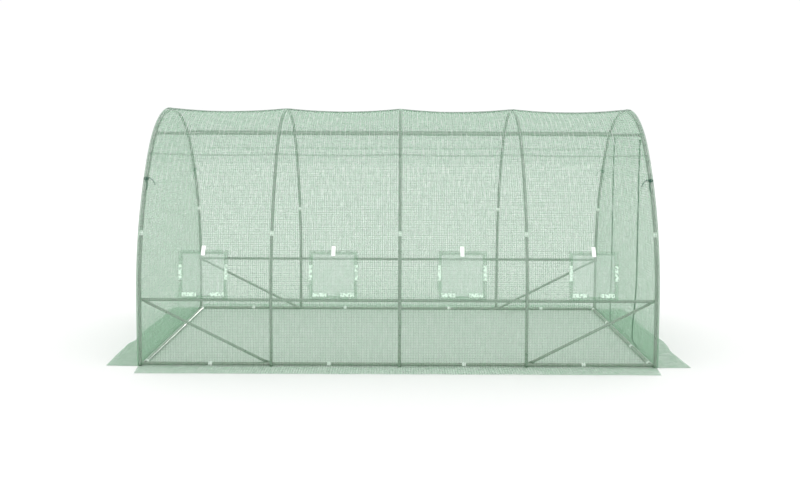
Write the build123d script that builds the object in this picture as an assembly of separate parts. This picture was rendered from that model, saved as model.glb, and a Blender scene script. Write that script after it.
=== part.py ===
from build123d import *
import math
import os

os.makedirs("parts", exist_ok=True)

# A walk-in polytunnel: five steel hoops in a row along X, tied by rails and
# braces, under a cover of reinforced film. Millimetres, +Z up. The origin is
# on the ground under the middle. The window side faces -Y, the zipped door +X.

# Hoops
length = 4000           # between the centre lines of the two end hoops
width = 2000            # between the centre lines of a hoop's two legs
height = 2000           # ground to the centre line of a hoop's crown
bay_count = 4
hoop_shifts = (0, 16, 14, 0, 0)  # along X, from even spacing
tube_diameter = 25
leg_height = 520        # straight part of each leg, below the arch
crown_radius = 765      # centre line radius of the arch's top
seat_gap = 0.3          # between round or soft pieces that lie against each other

# Couplings that join each leg to its arch
coupling_diameter = 27.6
coupling_length = 36
coupling_height = 1030

# Rails and braces
mid_rail_height = 515
upper_rail_drop = 200   # from the hoops' crown down to the upper rails
brace_diameter = 22
brace_top_inset = 2     # from the end hoop's centre line to the upper bolt, along X
brace_foot_inset = 14   # from the next hoop's centre line to the lower bolt
brace_tab_length = 79
brace_tab_width = 24
brace_tab_thickness = 3
tab_overlap = 14        # length of each tab inside the end of its brace

# Clips on the base rails
clip_length = 30
clip_wall = 2.5
clip_mouth = 8          # height of the clip's mouth below the rail's axis
front_clip_shares = (0.53, 0.45, 0.51, 0.45)  # along each bay
corner_clip_inset = 70  # from a hoop leg's centre line, on the end rails

# Cover
film_thickness = 2
sag = 27                # drop of the film's crown halfway between two hoops
side_skirt_depth = 182
end_skirt_depth = 275
side_skirt_taper = 24   # how much each end of a side skirt draws in
end_skirt_taper = 8

# Windows, one in each bay of the front
window_shifts = (-6, 0, -4, 12)  # along X, from even spacing
opening_size = 320
flap_width = 380
flap_height = 375
flap_bottom = 531
net_seam = 15           # border of the net past the opening
strip_thickness = 2
side_strip_width = 25
side_strip_length = 118
side_strip_inset = 1    # from the flap's side edges
side_strip_rise = 148   # above the flap's bottom edge
bottom_strip_width = 110
bottom_strip_height = 32
bottom_strip_gap = 105
bottom_strip_rise = 13
strap_width = 30
strap_length = 80
strap_thickness = 2
strap_lean = 40         # how far its free end stands off the wall
strap_top_rise = 32     # above the flap's top edge

# Door, in the +X end
door_width = 820
gable_rise = 238        # from the head of the door up to the hoops' crown
door_offset = -30       # middle of the door, along Y
zip_width = 32
zip_thickness = 3
roll_strap_width = 12
roll_strap_length = 70
roll_strap_thickness = 2
roll_strap_inset = 32   # from the middle of each zip

# Tie strings on the end hoops
tie_height = 1440
string_diameter = 5
slit_size = 10
knot_size = 12
knot_height = 14
knot_stand = 3          # middle of the knot past the middle of the loop's string
knot_turn = 20          # degrees round the loop, towards the middle of the tunnel
string_lead = 14        # straight stretch of each free end, square to the knot

# The free ends of each string, past the straight stretch. Each step is along the
# tunnel, out of the wall, and down. The front ones lie on the film, and the back
# ones hang free inside.
front_tail_steps = ((18, 0, 8), (20, 7, 18), (16, 12, 28))
front_end_steps = ((12, 9, 22), (3, 11, 26), (-6, 12, 26))
back_tail_steps = ((17, -2, 8), (15, -2, 16), (12, 0, 22))
back_end_steps = ((-2, -4, 22), (-4, -2, 24), (-6, 0, 26))

door_height = height - gable_rise
upper_rail_height = height - upper_rail_drop
half_length = length / 2
half_width = width / 2
bay_length = length / bay_count
tube_radius = tube_diameter / 2
hoop_places = []
for index, shift in enumerate(hoop_shifts):
    hoop_places.append(-half_length + bay_length * index + shift)
bay_middles = [(low + high) / 2 for low, high in zip(hoop_places, hoop_places[1:])]
window_places = []
for index, shift in enumerate(window_shifts):
    window_places.append(-half_length + bay_length * (index + 0.5) + shift)

# The film lies just outside the couplings, and the rails just inside the hoops.
film_offset = coupling_diameter / 2 + seat_gap
film_outside = film_offset + film_thickness
rail_offset = tube_diameter + seat_gap
tab_offset = rail_offset + tube_radius + seat_gap + brace_tab_thickness / 2
brace_offset = tab_offset + brace_tab_thickness / 2 - brace_diameter / 2


class Arch:
    # A hoop's outline in the YZ plane: straight legs, two side arcs and one crown
    # arc, all tangent. A bigger offset gives a parallel outline further out.
    def __init__(self, top):
        self.crown_centre = top - crown_radius
        rise = self.crown_centre - leg_height
        self.side_radius = (half_width ** 2 - crown_radius ** 2 + rise ** 2) / (
            2 * (half_width - crown_radius)
        )
        self.side_centre = half_width - self.side_radius
        self.switch_angle = math.atan2(rise, -self.side_centre)

    def point(self, angle, offset=0):
        # The angle runs from 0 at the top of the leg to a quarter turn at the crown.
        if angle < self.switch_angle:
            reach = self.side_radius + offset
            return (
                self.side_centre + reach * math.cos(angle),
                leg_height + reach * math.sin(angle),
            )
        reach = crown_radius + offset
        return (reach * math.cos(angle), self.crown_centre + reach * math.sin(angle))

    def angle_at(self, level, offset=0):
        if level <= leg_height:
            return 0
        angle = math.asin(min(1, (level - leg_height) / (self.side_radius + offset)))
        if angle < self.switch_angle:
            return angle
        return math.asin(min(1, (level - self.crown_centre) / (crown_radius + offset)))

    def reach_at(self, level, offset=0):
        # Half the outline's width at a height.
        if level <= leg_height:
            return half_width + offset
        return self.point(self.angle_at(level, offset), offset)[0]

    def outline(self, place, offset, foot):
        # From the foot at -Y over the crown to the foot at +Y.
        def spot(side, across, level):
            return (place, side * across, level)

        middle = self.switch_angle / 2
        leg_top = self.point(0, offset)
        switch = self.point(self.switch_angle, offset)
        half_way = self.point(middle, offset)
        crown = self.point(math.pi / 2, offset)
        return [
            Edge.make_line(spot(-1, leg_top[0], foot), spot(-1, *leg_top)),
            Edge.make_three_point_arc(spot(-1, *leg_top), spot(-1, *half_way), spot(-1, *switch)),
            Edge.make_three_point_arc(spot(-1, *switch), spot(1, *crown), spot(1, *switch)),
            Edge.make_three_point_arc(spot(1, *switch), spot(1, *half_way), spot(1, *leg_top)),
            Edge.make_line(spot(1, *leg_top), spot(1, leg_top[0], foot)),
        ]


hoop_arch = Arch(height)
sagged_arch = Arch(height - sag)
coupling_angle = hoop_arch.angle_at(coupling_height)
coupling_half_angle = coupling_length / 2 / hoop_arch.side_radius


def save(name, solids):
    shape = solids[0] if len(solids) == 1 else Compound(children=list(solids))
    shape.label = name
    export_step(shape, f"parts/{name}.step")


def block(low, high):
    size = [high[axis] - low[axis] for axis in range(3)]
    middle = [(high[axis] + low[axis]) / 2 for axis in range(3)]
    return Pos(*middle) * Box(*size)


def swept(edges, diameter):
    path = Wire(edges)
    start = Plane(origin=path @ 0, z_dir=path % 0)
    return sweep(start * Circle(diameter / 2), path=path).solid()


def side_edge(place, side, low_angle, high_angle):
    # A stretch of the side arc on one side of a hoop.
    spots = []
    for angle in (low_angle, (low_angle + high_angle) / 2, high_angle):
        across, level = hoop_arch.point(angle)
        spots.append((place, side * across, level))
    return Edge.make_three_point_arc(*spots)


def leg(place, side):
    foot = Edge.make_line((place, side * half_width, 0), (place, side * half_width, leg_height))
    bend = side_edge(place, side, 0, coupling_angle - coupling_half_angle)
    return swept([foot, bend], tube_diameter)


def coupling(place, side):
    stretch = side_edge(
        place, side, coupling_angle - coupling_half_angle, coupling_angle + coupling_half_angle
    )
    return swept([stretch], coupling_diameter)


def hoop_top(place):
    start = coupling_angle + coupling_half_angle
    switch = hoop_arch.point(hoop_arch.switch_angle)
    crown = hoop_arch.point(math.pi / 2)
    front = side_edge(place, -1, start, hoop_arch.switch_angle)
    over = Edge.make_three_point_arc(
        (place, -switch[0], switch[1]), (place, crown[0], crown[1]), (place, switch[0], switch[1])
    )
    back = side_edge(place, 1, hoop_arch.switch_angle, start)
    return swept([front, over, back], tube_diameter)


def long_rail(across, level):
    reach = half_length + tube_radius
    return Pos(0, across, level) * Rot(0, 90, 0) * Cylinder(tube_radius, 2 * reach)


def end_rail(end):
    reach = half_width - rail_offset - tube_radius - seat_gap
    place = end * (half_length - rail_offset)
    return Pos(place, 0, tube_radius) * Rot(90, 0, 0) * Cylinder(tube_radius, 2 * reach)


def brace(end, side):
    # From the end hoop at the mid rail down to the foot of the next hoop, in the
    # plane of the rails. A flat tab at each end is bolted to the rail's inner side.
    across = side * (half_width - brace_offset)
    next_hoop = hoop_places[1] if end < 0 else hoop_places[-2]
    top = Vector(end * (half_length - brace_top_inset), across, mid_rail_height)
    foot = Vector(next_hoop + end * brace_foot_inset, across, tube_radius)
    run = foot - top
    slope = run.normalized()
    tube_length = run.length - 2 * (brace_tab_length - tab_overlap - brace_tab_width / 2)
    axis = Plane(origin=(top + foot) / 2, z_dir=slope)
    shape = axis * Cylinder(brace_diameter / 2, tube_length)
    lift = Vector(0, side * (brace_offset - tab_offset), 0)
    for bolt, inward in ((top, slope), (foot, -slope)):
        middle = bolt + inward * (brace_tab_length - brace_tab_width) / 2 + lift
        flat = Plane(origin=middle, x_dir=inward, z_dir=(0, 1, 0))
        tab = flat * SlotOverall(brace_tab_length, brace_tab_width)
        shape += extrude(tab, amount=brace_tab_thickness / 2, both=True)
    return shape.solid()


def rail_clip(place, across, turn):
    # A C-shaped clip over the rail, its mouth towards the ground.
    inside = tube_radius + seat_gap
    ring = Cylinder(inside + clip_wall, clip_length) - Cylinder(inside, clip_length)
    ring = Pos(place, across, tube_radius) * Rot(0, 0, turn) * Rot(0, 90, 0) * ring
    wide = 2 * (clip_length + inside + clip_wall)
    ring -= Pos(place, across, tube_radius - clip_mouth - wide / 2) * Box(wide, wide, wide)
    return ring.solid()


def film_section(arch, place, offset, thickness, foot):
    outside = arch.outline(place, offset + thickness, foot)
    inside = arch.outline(place, offset, foot)
    lips = []
    for side in (-1, 1):
        near = (place, side * (half_width + offset), foot)
        far = (place, side * (half_width + offset + thickness), foot)
        lips.append(Edge.make_line(near, far))
    return Face(Wire(outside + inside + lips))


def bay_film(index, offset, thickness):
    # The film over one bay. It sags between its two hoops.
    low = hoop_places[index]
    high = hoop_places[index + 1]
    if index == 0:
        low -= film_offset
    if index == bay_count - 1:
        high += film_offset
    middle = bay_middles[index]
    foot = film_thickness
    sections = [
        film_section(hoop_arch, low, offset, thickness, foot),
        film_section(sagged_arch, middle, offset, thickness, foot),
        film_section(hoop_arch, high, offset, thickness, foot),
    ]
    return loft(sections).solid()


def front_patch(index, offset, thickness, patches):
    # Parts of a sheet parallel to the film on the front, cut out in the XZ plane.
    # A patch is its middle along the bay, its width, its bottom and its top.
    sheet = bay_film(index, offset, thickness)
    solids = []
    for place, wide, bottom, top in patches:
        middle = window_places[index] + place
        low = (middle - wide / 2, -half_width - 2 * film_outside, bottom)
        high = (middle + wide / 2, 0, top)
        solids.append((sheet & block(low, high)).solid())
    return solids


opening_bottom = flap_bottom + (flap_height - opening_size) / 2
flap_top = flap_bottom + flap_height
flap_offset = film_outside + seat_gap
strip_offset = flap_offset + film_thickness + seat_gap


def cover_bay(index):
    sheet = bay_film(index, film_offset, film_thickness)
    middle = window_places[index]
    low = (middle - opening_size / 2, -half_width - 2 * film_outside, opening_bottom)
    high = (middle + opening_size / 2, 0, opening_bottom + opening_size)
    sheet -= block(low, high)
    if index == 0:
        sheet = cut_slits(sheet, -1)
    if index == bay_count - 1:
        sheet = cut_slits(sheet, 1)
    return sheet.solid()


def window_net(index):
    wide = opening_size + 2 * net_seam
    bottom = opening_bottom - net_seam
    offset = film_offset - seat_gap - film_thickness
    return front_patch(index, offset, film_thickness, [(0, wide, bottom, bottom + wide)])


def window_flap(index):
    patch = (0, flap_width, flap_bottom, flap_top)
    return front_patch(index, flap_offset, film_thickness, [patch])


def window_strips(index):
    side_bottom = flap_bottom + side_strip_rise
    low_bottom = flap_bottom + bottom_strip_rise
    low_place = (bottom_strip_gap + bottom_strip_width) / 2
    high_place = (flap_width - side_strip_width) / 2 - side_strip_inset
    patches = []
    for side in (-1, 1):
        place = side * high_place
        patches.append((place, side_strip_width, side_bottom, side_bottom + side_strip_length))
        patches.append(
            (side * low_place, bottom_strip_width, low_bottom, low_bottom + bottom_strip_height)
        )
    return front_patch(index, strip_offset, strip_thickness, patches)


def window_strap(index):
    # A webbing strap that hangs from the wall above the flap and stands off it.
    top = flap_top + strap_top_rise
    sewn = sagged_arch.reach_at(top, film_outside) + seat_gap
    slope = math.asin(strap_lean / strap_length)
    foot = Vector(0, -sewn - strap_lean, top - strap_length * math.cos(slope))
    head = Vector(0, -sewn, top)
    across = Vector(0, -strap_thickness, 0)
    side = Face(Wire.make_polygon([head, foot, foot + across, head + across], close=True))
    start = window_places[index] - strap_width / 2
    return extrude(Pos(start, 0, 0) * side, amount=strap_width, dir=(1, 0, 0)).solid()


def end_sheet(end, thickness):
    # The whole end wall, just outside the end hoop.
    place = end * (half_length + film_offset)
    outline = hoop_arch.outline(place, film_outside, film_thickness)
    reach = half_width + film_outside
    sill = Edge.make_line((place, reach, film_thickness), (place, -reach, film_thickness))
    face = Face(Wire(outline + [sill]))
    sheet = extrude(face, amount=thickness, dir=(end, 0, 0))
    return cut_slits(sheet, end)


door_edges = [door_offset - door_width / 2, door_offset + door_width / 2]
far = 2 * max(half_length, half_width, height)


def end_part(low_across, high_across, bottom, top):
    sheet = end_sheet(1, film_thickness)
    return (sheet & block((0, low_across, bottom), (far, high_across, top))).solid()


def door_zip(across):
    place = half_length + film_offset
    low = (place, across - zip_width / 2, film_thickness)
    high = (place + zip_thickness, across + zip_width / 2, door_height)
    return block(low, high)


def roll_strap(across):
    place = half_length + film_outside + seat_gap
    low = (place, across - roll_strap_width / 2, door_height - roll_strap_length)
    high = (place + roll_strap_thickness, across + roll_strap_width / 2, door_height)
    return block(low, high)


def flat_skirt(corners):
    return extrude(Face(Wire.make_polygon(corners, close=True)), amount=film_thickness).solid()


def side_skirt(side):
    near = side * (half_width + film_offset)
    out = side * (half_width + film_outside + side_skirt_depth)
    reach = half_length + film_offset
    short = reach - side_skirt_taper
    corners = [(-reach, near, 0), (reach, near, 0), (short, out, 0), (-short, out, 0)]
    if side < 0:
        corners.reverse()
    return flat_skirt(corners)


def end_skirt(end):
    near = end * (half_length + film_offset)
    out = end * (half_length + film_outside + end_skirt_depth)
    reach = half_width + film_offset
    short = reach - end_skirt_taper
    corners = [(near, -reach, 0), (out, -short, 0), (out, short, 0), (near, reach, 0)]
    if end < 0:
        corners.reverse()
    return flat_skirt(corners)


# Each string loops round an end hoop and the corner of the film beside it. The
# loop fits the corner on one side and the tube on the other.
corner_reach = film_outside * math.sqrt(2)
loop_shift = (corner_reach - tube_radius) / 2
loop_radius = tube_radius + loop_shift + seat_gap + string_diameter / 2
tie_angle = hoop_arch.angle_at(tie_height)


def tie_plane(end, side):
    # X points out of the end wall, Y out of the side, and Z along the tube.
    across, level = hoop_arch.point(tie_angle)
    outward = Vector(0, side * math.cos(tie_angle), math.sin(tie_angle))
    lengthways = Vector(end, 0, 0)
    origin = (end * half_length, side * across, level)
    return Plane(origin=origin, x_dir=lengthways, z_dir=lengthways.cross(outward))


def cut_slits(sheet, end):
    # Where each loop passes through the cover and through the end wall.
    depth = film_offset + film_thickness / 2
    middle = loop_shift / math.sqrt(2)
    step = math.sqrt(loop_radius ** 2 - (depth - middle) ** 2)
    inward = middle - step
    for side in (-1, 1):
        plane = tie_plane(end, side)
        for spot in ((inward, depth), (depth, inward)):
            sheet -= plane * Pos(spot[0], spot[1], 0) * Box(slit_size, slit_size, slit_size)
    return sheet


def knot_middle(side):
    # Every knot faces -Y: outside the film at the front, inside the hoop at the back.
    middle = loop_shift / math.sqrt(2)
    turn = math.radians(knot_turn)
    lengthways = middle - loop_radius * math.sin(turn)
    outward = middle - side * (loop_radius * math.cos(turn) + knot_stand)
    return (lengthways, outward, 0)


def tie_loop(end, side):
    middle = loop_shift / math.sqrt(2)
    loop = Pos(middle, middle, 0) * Torus(loop_radius, string_diameter / 2)
    knot = Pos(*knot_middle(side)) * Box(knot_size, knot_size, knot_height)
    return (tie_plane(end, side) * (loop + knot)).solid()


def string_end(end, side, start, away, steps):
    # A free end of a string, from a face of the knot.
    spots = [start, start + away * string_lead]
    for along, outward, down in steps:
        spots.append(spots[-1] + Vector(-end * along, side * outward, -down))
    radii = []
    for before, spot, after in zip(spots, spots[1:], spots[2:]):
        turn = (spot - before).get_angle(after - spot)
        shorter = min((spot - before).length, (after - spot).length)
        radii.append(0.45 * shorter / math.tan(math.radians(turn) / 2))
    print("string radii", [round(radius) for radius in radii])
    path = FilletPolyline(*spots, radius=radii)
    return swept(path.edges(), string_diameter)


def tie_ends(end, side):
    plane = tie_plane(end, side)
    knot = plane.from_local_coords(knot_middle(side))
    along = Vector(-end, 0, 0)
    down = plane.z_dir if plane.z_dir.Z < 0 else -plane.z_dir
    tail_steps = front_tail_steps if side < 0 else back_tail_steps
    end_steps = front_end_steps if side < 0 else back_end_steps
    return [
        string_end(end, side, knot + along * knot_size / 2, along, tail_steps),
        string_end(end, side, knot + down * knot_height / 2, down, end_steps),
    ]


# Frame
for index, place in enumerate(hoop_places):
    save(f"hoop_{index + 1}", [hoop_top(place)])
save("front_legs", [leg(place, -1) for place in hoop_places])
save("back_legs", [leg(place, 1) for place in hoop_places])
save("hoop_couplings", [coupling(place, side) for place in hoop_places for side in (-1, 1)])

rail_across = half_width - rail_offset
upper_across = hoop_arch.reach_at(upper_rail_height, -rail_offset)
for name, side in (("front", -1), ("back", 1)):
    save(f"{name}_base_rail", [long_rail(side * rail_across, tube_radius)])
    save(f"{name}_mid_rail", [long_rail(side * rail_across, mid_rail_height)])
    save(f"{name}_upper_rail", [long_rail(side * upper_across, upper_rail_height)])
save("left_base_rail", [end_rail(-1)])
save("right_base_rail", [end_rail(1)])
for end_name, end in (("left", -1), ("right", 1)):
    for side_name, side in (("front", -1), ("back", 1)):
        save(f"{side_name}_{end_name}_brace", [brace(end, side)])

clips = []
for low, high, share in zip(hoop_places, hoop_places[1:], front_clip_shares):
    for side in (-1, 1):
        clips.append(rail_clip(low + share * (high - low), side * rail_across, 0))
end_rail_place = half_length - rail_offset
corner = half_width - corner_clip_inset
for end, spots in ((1, door_edges + [-corner, corner]), (-1, [-corner, corner])):
    for across in spots:
        clips.append(rail_clip(end * end_rail_place, across, 90))
save("base_rail_clips", clips)

# Cover
for index in range(bay_count):
    save(f"cover_bay_{index + 1}", [cover_bay(index)])
save("left_end_wall", [end_sheet(-1, film_thickness).solid()])
save("right_wall_front", [end_part(-far, door_edges[0] - zip_width / 2, 0, door_height)])
save("right_wall_back", [end_part(door_edges[1] + zip_width / 2, far, 0, door_height)])
save("right_gable", [end_part(-far, far, door_height, far)])
door = end_part(door_edges[0] + zip_width / 2, door_edges[1] - zip_width / 2, 0, door_height)
save("door_panel", [door])
save("door_zips", [door_zip(across) for across in door_edges])
straps = []
for across, inward in zip(door_edges, (1, -1)):
    straps.append(roll_strap(across + inward * roll_strap_inset))
save("door_roll_straps", straps)
save("front_skirt", [side_skirt(-1)])
save("back_skirt", [side_skirt(1)])
save("left_skirt", [end_skirt(-1)])
save("right_skirt", [end_skirt(1)])

# Windows
bays = range(bay_count)
save("window_nets", [solid for index in bays for solid in window_net(index)])
save("window_flaps", [solid for index in bays for solid in window_flap(index)])
save("window_strips", [solid for index in bays for solid in window_strips(index)])
save("window_straps", [window_strap(index) for index in bays])

# Ties
corners = [(end, side) for end in (-1, 1) for side in (-1, 1)]
save("tie_loops", [tie_loop(end, side) for end, side in corners])
for end_name, end in (("left", -1), ("right", 1)):
    for side_name, side in (("front", -1), ("back", 1)):
        save(f"{side_name}_{end_name}_tie", tie_ends(end, side))
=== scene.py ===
import math

import bmesh
import bpy
from mathutils import Matrix, Vector, noise


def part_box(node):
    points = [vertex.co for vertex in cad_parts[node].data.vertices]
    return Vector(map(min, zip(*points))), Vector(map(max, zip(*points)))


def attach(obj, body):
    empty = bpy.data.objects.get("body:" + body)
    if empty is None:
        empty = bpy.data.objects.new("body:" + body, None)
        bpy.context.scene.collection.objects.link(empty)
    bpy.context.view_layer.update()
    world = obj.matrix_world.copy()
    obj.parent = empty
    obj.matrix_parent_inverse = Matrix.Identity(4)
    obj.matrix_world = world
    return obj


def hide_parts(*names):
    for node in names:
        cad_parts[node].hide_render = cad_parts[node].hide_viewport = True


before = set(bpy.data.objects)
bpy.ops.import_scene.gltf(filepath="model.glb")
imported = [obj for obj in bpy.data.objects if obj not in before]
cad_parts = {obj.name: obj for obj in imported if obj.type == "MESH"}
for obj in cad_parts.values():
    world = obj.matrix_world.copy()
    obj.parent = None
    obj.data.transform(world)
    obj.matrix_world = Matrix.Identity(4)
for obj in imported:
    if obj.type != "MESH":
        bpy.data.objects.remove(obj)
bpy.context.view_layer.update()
scene = bpy.context.scene
print("frame loaded:", len(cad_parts), "parts")

ends = (("left", -1), ("right", 1))
sides = (("front", -1), ("back", 1))
corners = [(*end, *side) for end in ends for side in sides]
up = Vector((0, 0, 1))

cameraSetup = {
    "lens": 37.402,
    "sensorWidth": 36,
    "place": (0, -7.3636, 1.9104),
    "tiltDown": 0.0603,     # radians
    "roll": 0.0042,
    "shift": (0.0019, -0.0864),
    "farClip": 100,
}


def makeCamera():
    camera = bpy.data.objects.new("camera", bpy.data.cameras.new("camera"))
    camera.data.lens = cameraSetup["lens"]
    camera.data.sensor_width = cameraSetup["sensorWidth"]
    camera.data.shift_x, camera.data.shift_y = cameraSetup["shift"]
    camera.data.clip_end = cameraSetup["farClip"]
    camera.matrix_world = (
        Matrix.Translation(cameraSetup["place"])
        @ Matrix.Rotation(math.pi / 2 - cameraSetup["tiltDown"], 4, "X")
        @ Matrix.Rotation(cameraSetup["roll"], 4, "Z")
    )
    scene.collection.objects.link(camera)
    scene.camera = camera


makeCamera()

# Each string leaves its knot in a tail along the tunnel and in an end that hangs
# down. The string's length comes first, and then its points at the right end, which
# the left end mirrors.
tieStrings = {
    "diameter": 0.005,
    "frontTail": (0.095, (
        (1.9906, -0.7949, 1.4521), (1.9766, -0.7949, 1.4521), (1.9586, -0.7949, 1.4441),
        (1.9386, -0.8019, 1.4261), (1.9226, -0.8139, 1.3981),
    )),
    "frontEnd": (0.097, (
        (1.9966, -0.7981, 1.4459), (1.9966, -0.8047, 1.4335), (1.9846, -0.8137, 1.4115),
        (1.9816, -0.8247, 1.3855), (1.9876, -0.8367, 1.3595),
    )),
    "backTail": (0.079, (
        (1.9906, 0.7556, 1.4313), (1.9766, 0.7556, 1.4313), (1.9596, 0.7536, 1.4233),
        (1.9446, 0.7516, 1.4073), (1.9326, 0.7516, 1.3853),
    )),
    "backEnd": (0.087, (
        (1.9966, 0.7589, 1.4251), (1.9966, 0.7654, 1.4128), (1.9986, 0.7614, 1.3908),
        (2.0026, 0.7594, 1.3668), (2.0086, 0.7594, 1.3408),
    )),
}
stringFinish = bpy.data.materials.new("tieString")


def makeCord(name, points, node):
    curve = bpy.data.curves.new(name, "CURVE")
    curve.dimensions = "3D"
    curve.bevel_depth = tieStrings["diameter"] / 2
    curve.bevel_resolution = 3
    curve.use_fill_caps = True
    spline = curve.splines.new("NURBS")
    spline.points.add(len(points) - 1)
    for spot, place in zip(spline.points, points):
        spot.co = (*place, 1)
    spline.order_u = 3
    spline.use_endpoint_u = True
    spline.resolution_u = 8
    curve.materials.append(stringFinish)
    cord = bpy.data.objects.new(name, curve)
    scene.collection.objects.link(cord)
    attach(cord, "root")
    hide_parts(node)


for endName, end, sideName, side in corners:
    corner = f"{sideName}_{endName}"
    for part in ("Tail", "End"):
        length, points = tieStrings[sideName + part]
        route = [(end * x, y, z) for x, y, z in points]
        makeCord(f"{corner}_string{part}", route, f"{corner}_tie")
print("camera and strings done")

# Sizes that several pieces share, from the frame where it has them.
hoopBoxes = [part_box(f"hoop_{index + 1}") for index in range(5)]
tubeRadius = (hoopBoxes[0][1].x - hoopBoxes[0][0].x) / 2
hoopPlaces = [(low.x + high.x) / 2 for low, high in hoopBoxes]
crownHeight = hoopBoxes[0][1].z - tubeRadius
halfWidth = -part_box("front_legs")[0].y - tubeRadius
halfLength = hoopPlaces[-1]
bays = list(zip(hoopPlaces, hoopPlaces[1:]))
seatGap = 0.0003    # between round pieces that lie against each other

tunnel = {
    "legHeight": 0.520,      # straight part of each leg
    "crownRadius": 0.765,    # centre line of the arch's top
}
film = {
    "offset": 0.0151,        # from the hoops' centre lines to the middle of the film
    "thickness": 0.0010,
    "sag": 0.027,            # of the crown halfway between two hoops
    "foot": 0.002,
    "ripple": 0.0016,
    "stepsPerBay": 22,
    "stepsAround": 132,
}


def archOf(top):
    # Radii, centres and the angle at which the side arc meets the crown arc.
    crown = tunnel["crownRadius"]
    rise = top - crown - tunnel["legHeight"]
    side = (halfWidth ** 2 - crown ** 2 + rise ** 2) / (2 * (halfWidth - crown))
    centre = halfWidth - side
    switch = math.atan2(rise, -centre)
    return {"side": side, "centre": centre, "crown": top - crown, "switch": switch}


hoopArch = archOf(crownHeight)


def archPoint(arch, angle, offset=0.0):
    if angle < arch["switch"]:
        reach = arch["side"] + offset
        across = arch["centre"] + reach * math.cos(angle)
        return across, tunnel["legHeight"] + reach * math.sin(angle)
    reach = tunnel["crownRadius"] + offset
    return reach * math.cos(angle), arch["crown"] + reach * math.sin(angle)


def archAngle(arch, level, offset=0.0):
    rise = max(0, level - tunnel["legHeight"]) / (arch["side"] + offset)
    angle = math.asin(min(1, rise))
    if angle > arch["switch"]:
        rise = (level - arch["crown"]) / (tunnel["crownRadius"] + offset)
        angle = math.asin(min(1, rise))
    return angle


def filmSpans(offset):
    # Lengths of the crown and side parts of half the film, from the crown down.
    switch = hoopArch["switch"]
    crown = (tunnel["crownRadius"] + offset) * (math.pi / 2 - switch)
    return crown, (hoopArch["side"] + offset) * switch


def girthAt(level, offset):
    # Distance along the film from the crown down to a level, over a hoop.
    crown, side = filmSpans(offset)
    if level <= tunnel["legHeight"]:
        return crown + side + tunnel["legHeight"] - level
    angle = archAngle(hoopArch, level, offset)
    if angle < hoopArch["switch"]:
        return crown + side - angle * (hoopArch["side"] + offset)
    return (math.pi / 2 - angle) * (tunnel["crownRadius"] + offset)


def sagAt(x):
    # Share of the full sag: none over a hoop, all of it halfway between two.
    for low, high in bays:
        if low < x < high:
            share = (x - low) / (high - low)
            return 4 * share * (1 - share)
    return 0.0


def wrapFilm(x, girth, offset):
    # Where a point of the flat film goes once it hangs over the hoops. A negative
    # girth is the front.
    crown, side = filmSpans(offset)
    arch = archOf(crownHeight - film["sag"] * sagAt(x))
    far = abs(girth)
    offset += film["ripple"] * sagAt(x) * (
        noise.noise(Vector((x * 2.1, girth * 1.7, 4.0)))
        + 0.5 * noise.noise(Vector((x * 6.3, girth * 2.9, 9.0)))
    )
    if far <= crown + side:
        if far <= crown:
            angle = math.pi / 2 - far / crown * (math.pi / 2 - arch["switch"])
        else:
            angle = arch["switch"] * (1 - (far - crown) / side) * (1 - 1e-9)
        across, level = archPoint(arch, angle, offset)
    else:
        across = halfWidth + offset
        level = tunnel["legHeight"] - (far - crown - side)
    return Vector((x, math.copysign(across, girth), level))


def feed(tree, node, inputs):
    # Links what comes from another node, and sets the rest.
    for socket, value in inputs.items():
        if isinstance(value, bpy.types.NodeSocket):
            tree.links.new(value, node.inputs[socket])
        else:
            node.inputs[socket].default_value = value


def addNode(tree, kind, inputs=None, **settings):
    node = tree.nodes.new("ShaderNode" + kind)
    for name, value in settings.items():
        setattr(node, name, value)
    feed(tree, node, inputs or {})
    return node


def maths(tree, operation, *values):
    return addNode(tree, "Math", dict(enumerate(values)), operation=operation).outputs[0]


def mapRange(tree, value, fromLow, fromHigh, toLow=0.0, toHigh=1.0, kind="LINEAR"):
    inputs = {0: value, 1: fromLow, 2: fromHigh, 3: toLow, 4: toHigh}
    return addNode(tree, "MapRange", inputs, interpolation_type=kind).outputs[0]


def mixValue(tree, share, first, second):
    inputs = {0: share, 2: first, 3: second}
    return addNode(tree, "Mix", inputs, data_type="FLOAT").outputs[0]


def mixColour(tree, share, first, second):
    inputs = {0: share, 6: first, 7: second}
    return addNode(tree, "Mix", inputs, data_type="RGBA").outputs[2]


def noiseAt(tree, vector, scale, detail, roughness=0.5):
    inputs = {"Vector": vector, "Scale": scale, "Detail": detail, "Roughness": roughness}
    return addNode(tree, "TexNoise", inputs).outputs[0]


def nodeGroup(name, values, outputs):
    # Its inputs are a vector and the named values. All its outputs are values.
    group = bpy.data.node_groups.new(name, "ShaderNodeTree")
    sockets = group.interface
    sockets.new_socket("Vector", in_out="INPUT", socket_type="NodeSocketVector")
    for label, value in values.items():
        socket = sockets.new_socket(label, in_out="INPUT", socket_type="NodeSocketFloat")
        socket.default_value = value
    for label in outputs:
        sockets.new_socket(label, in_out="OUTPUT", socket_type="NodeSocketFloat")
    start = group.nodes.new("NodeGroupInput").outputs
    return group, start, group.nodes.new("NodeGroupOutput")


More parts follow.
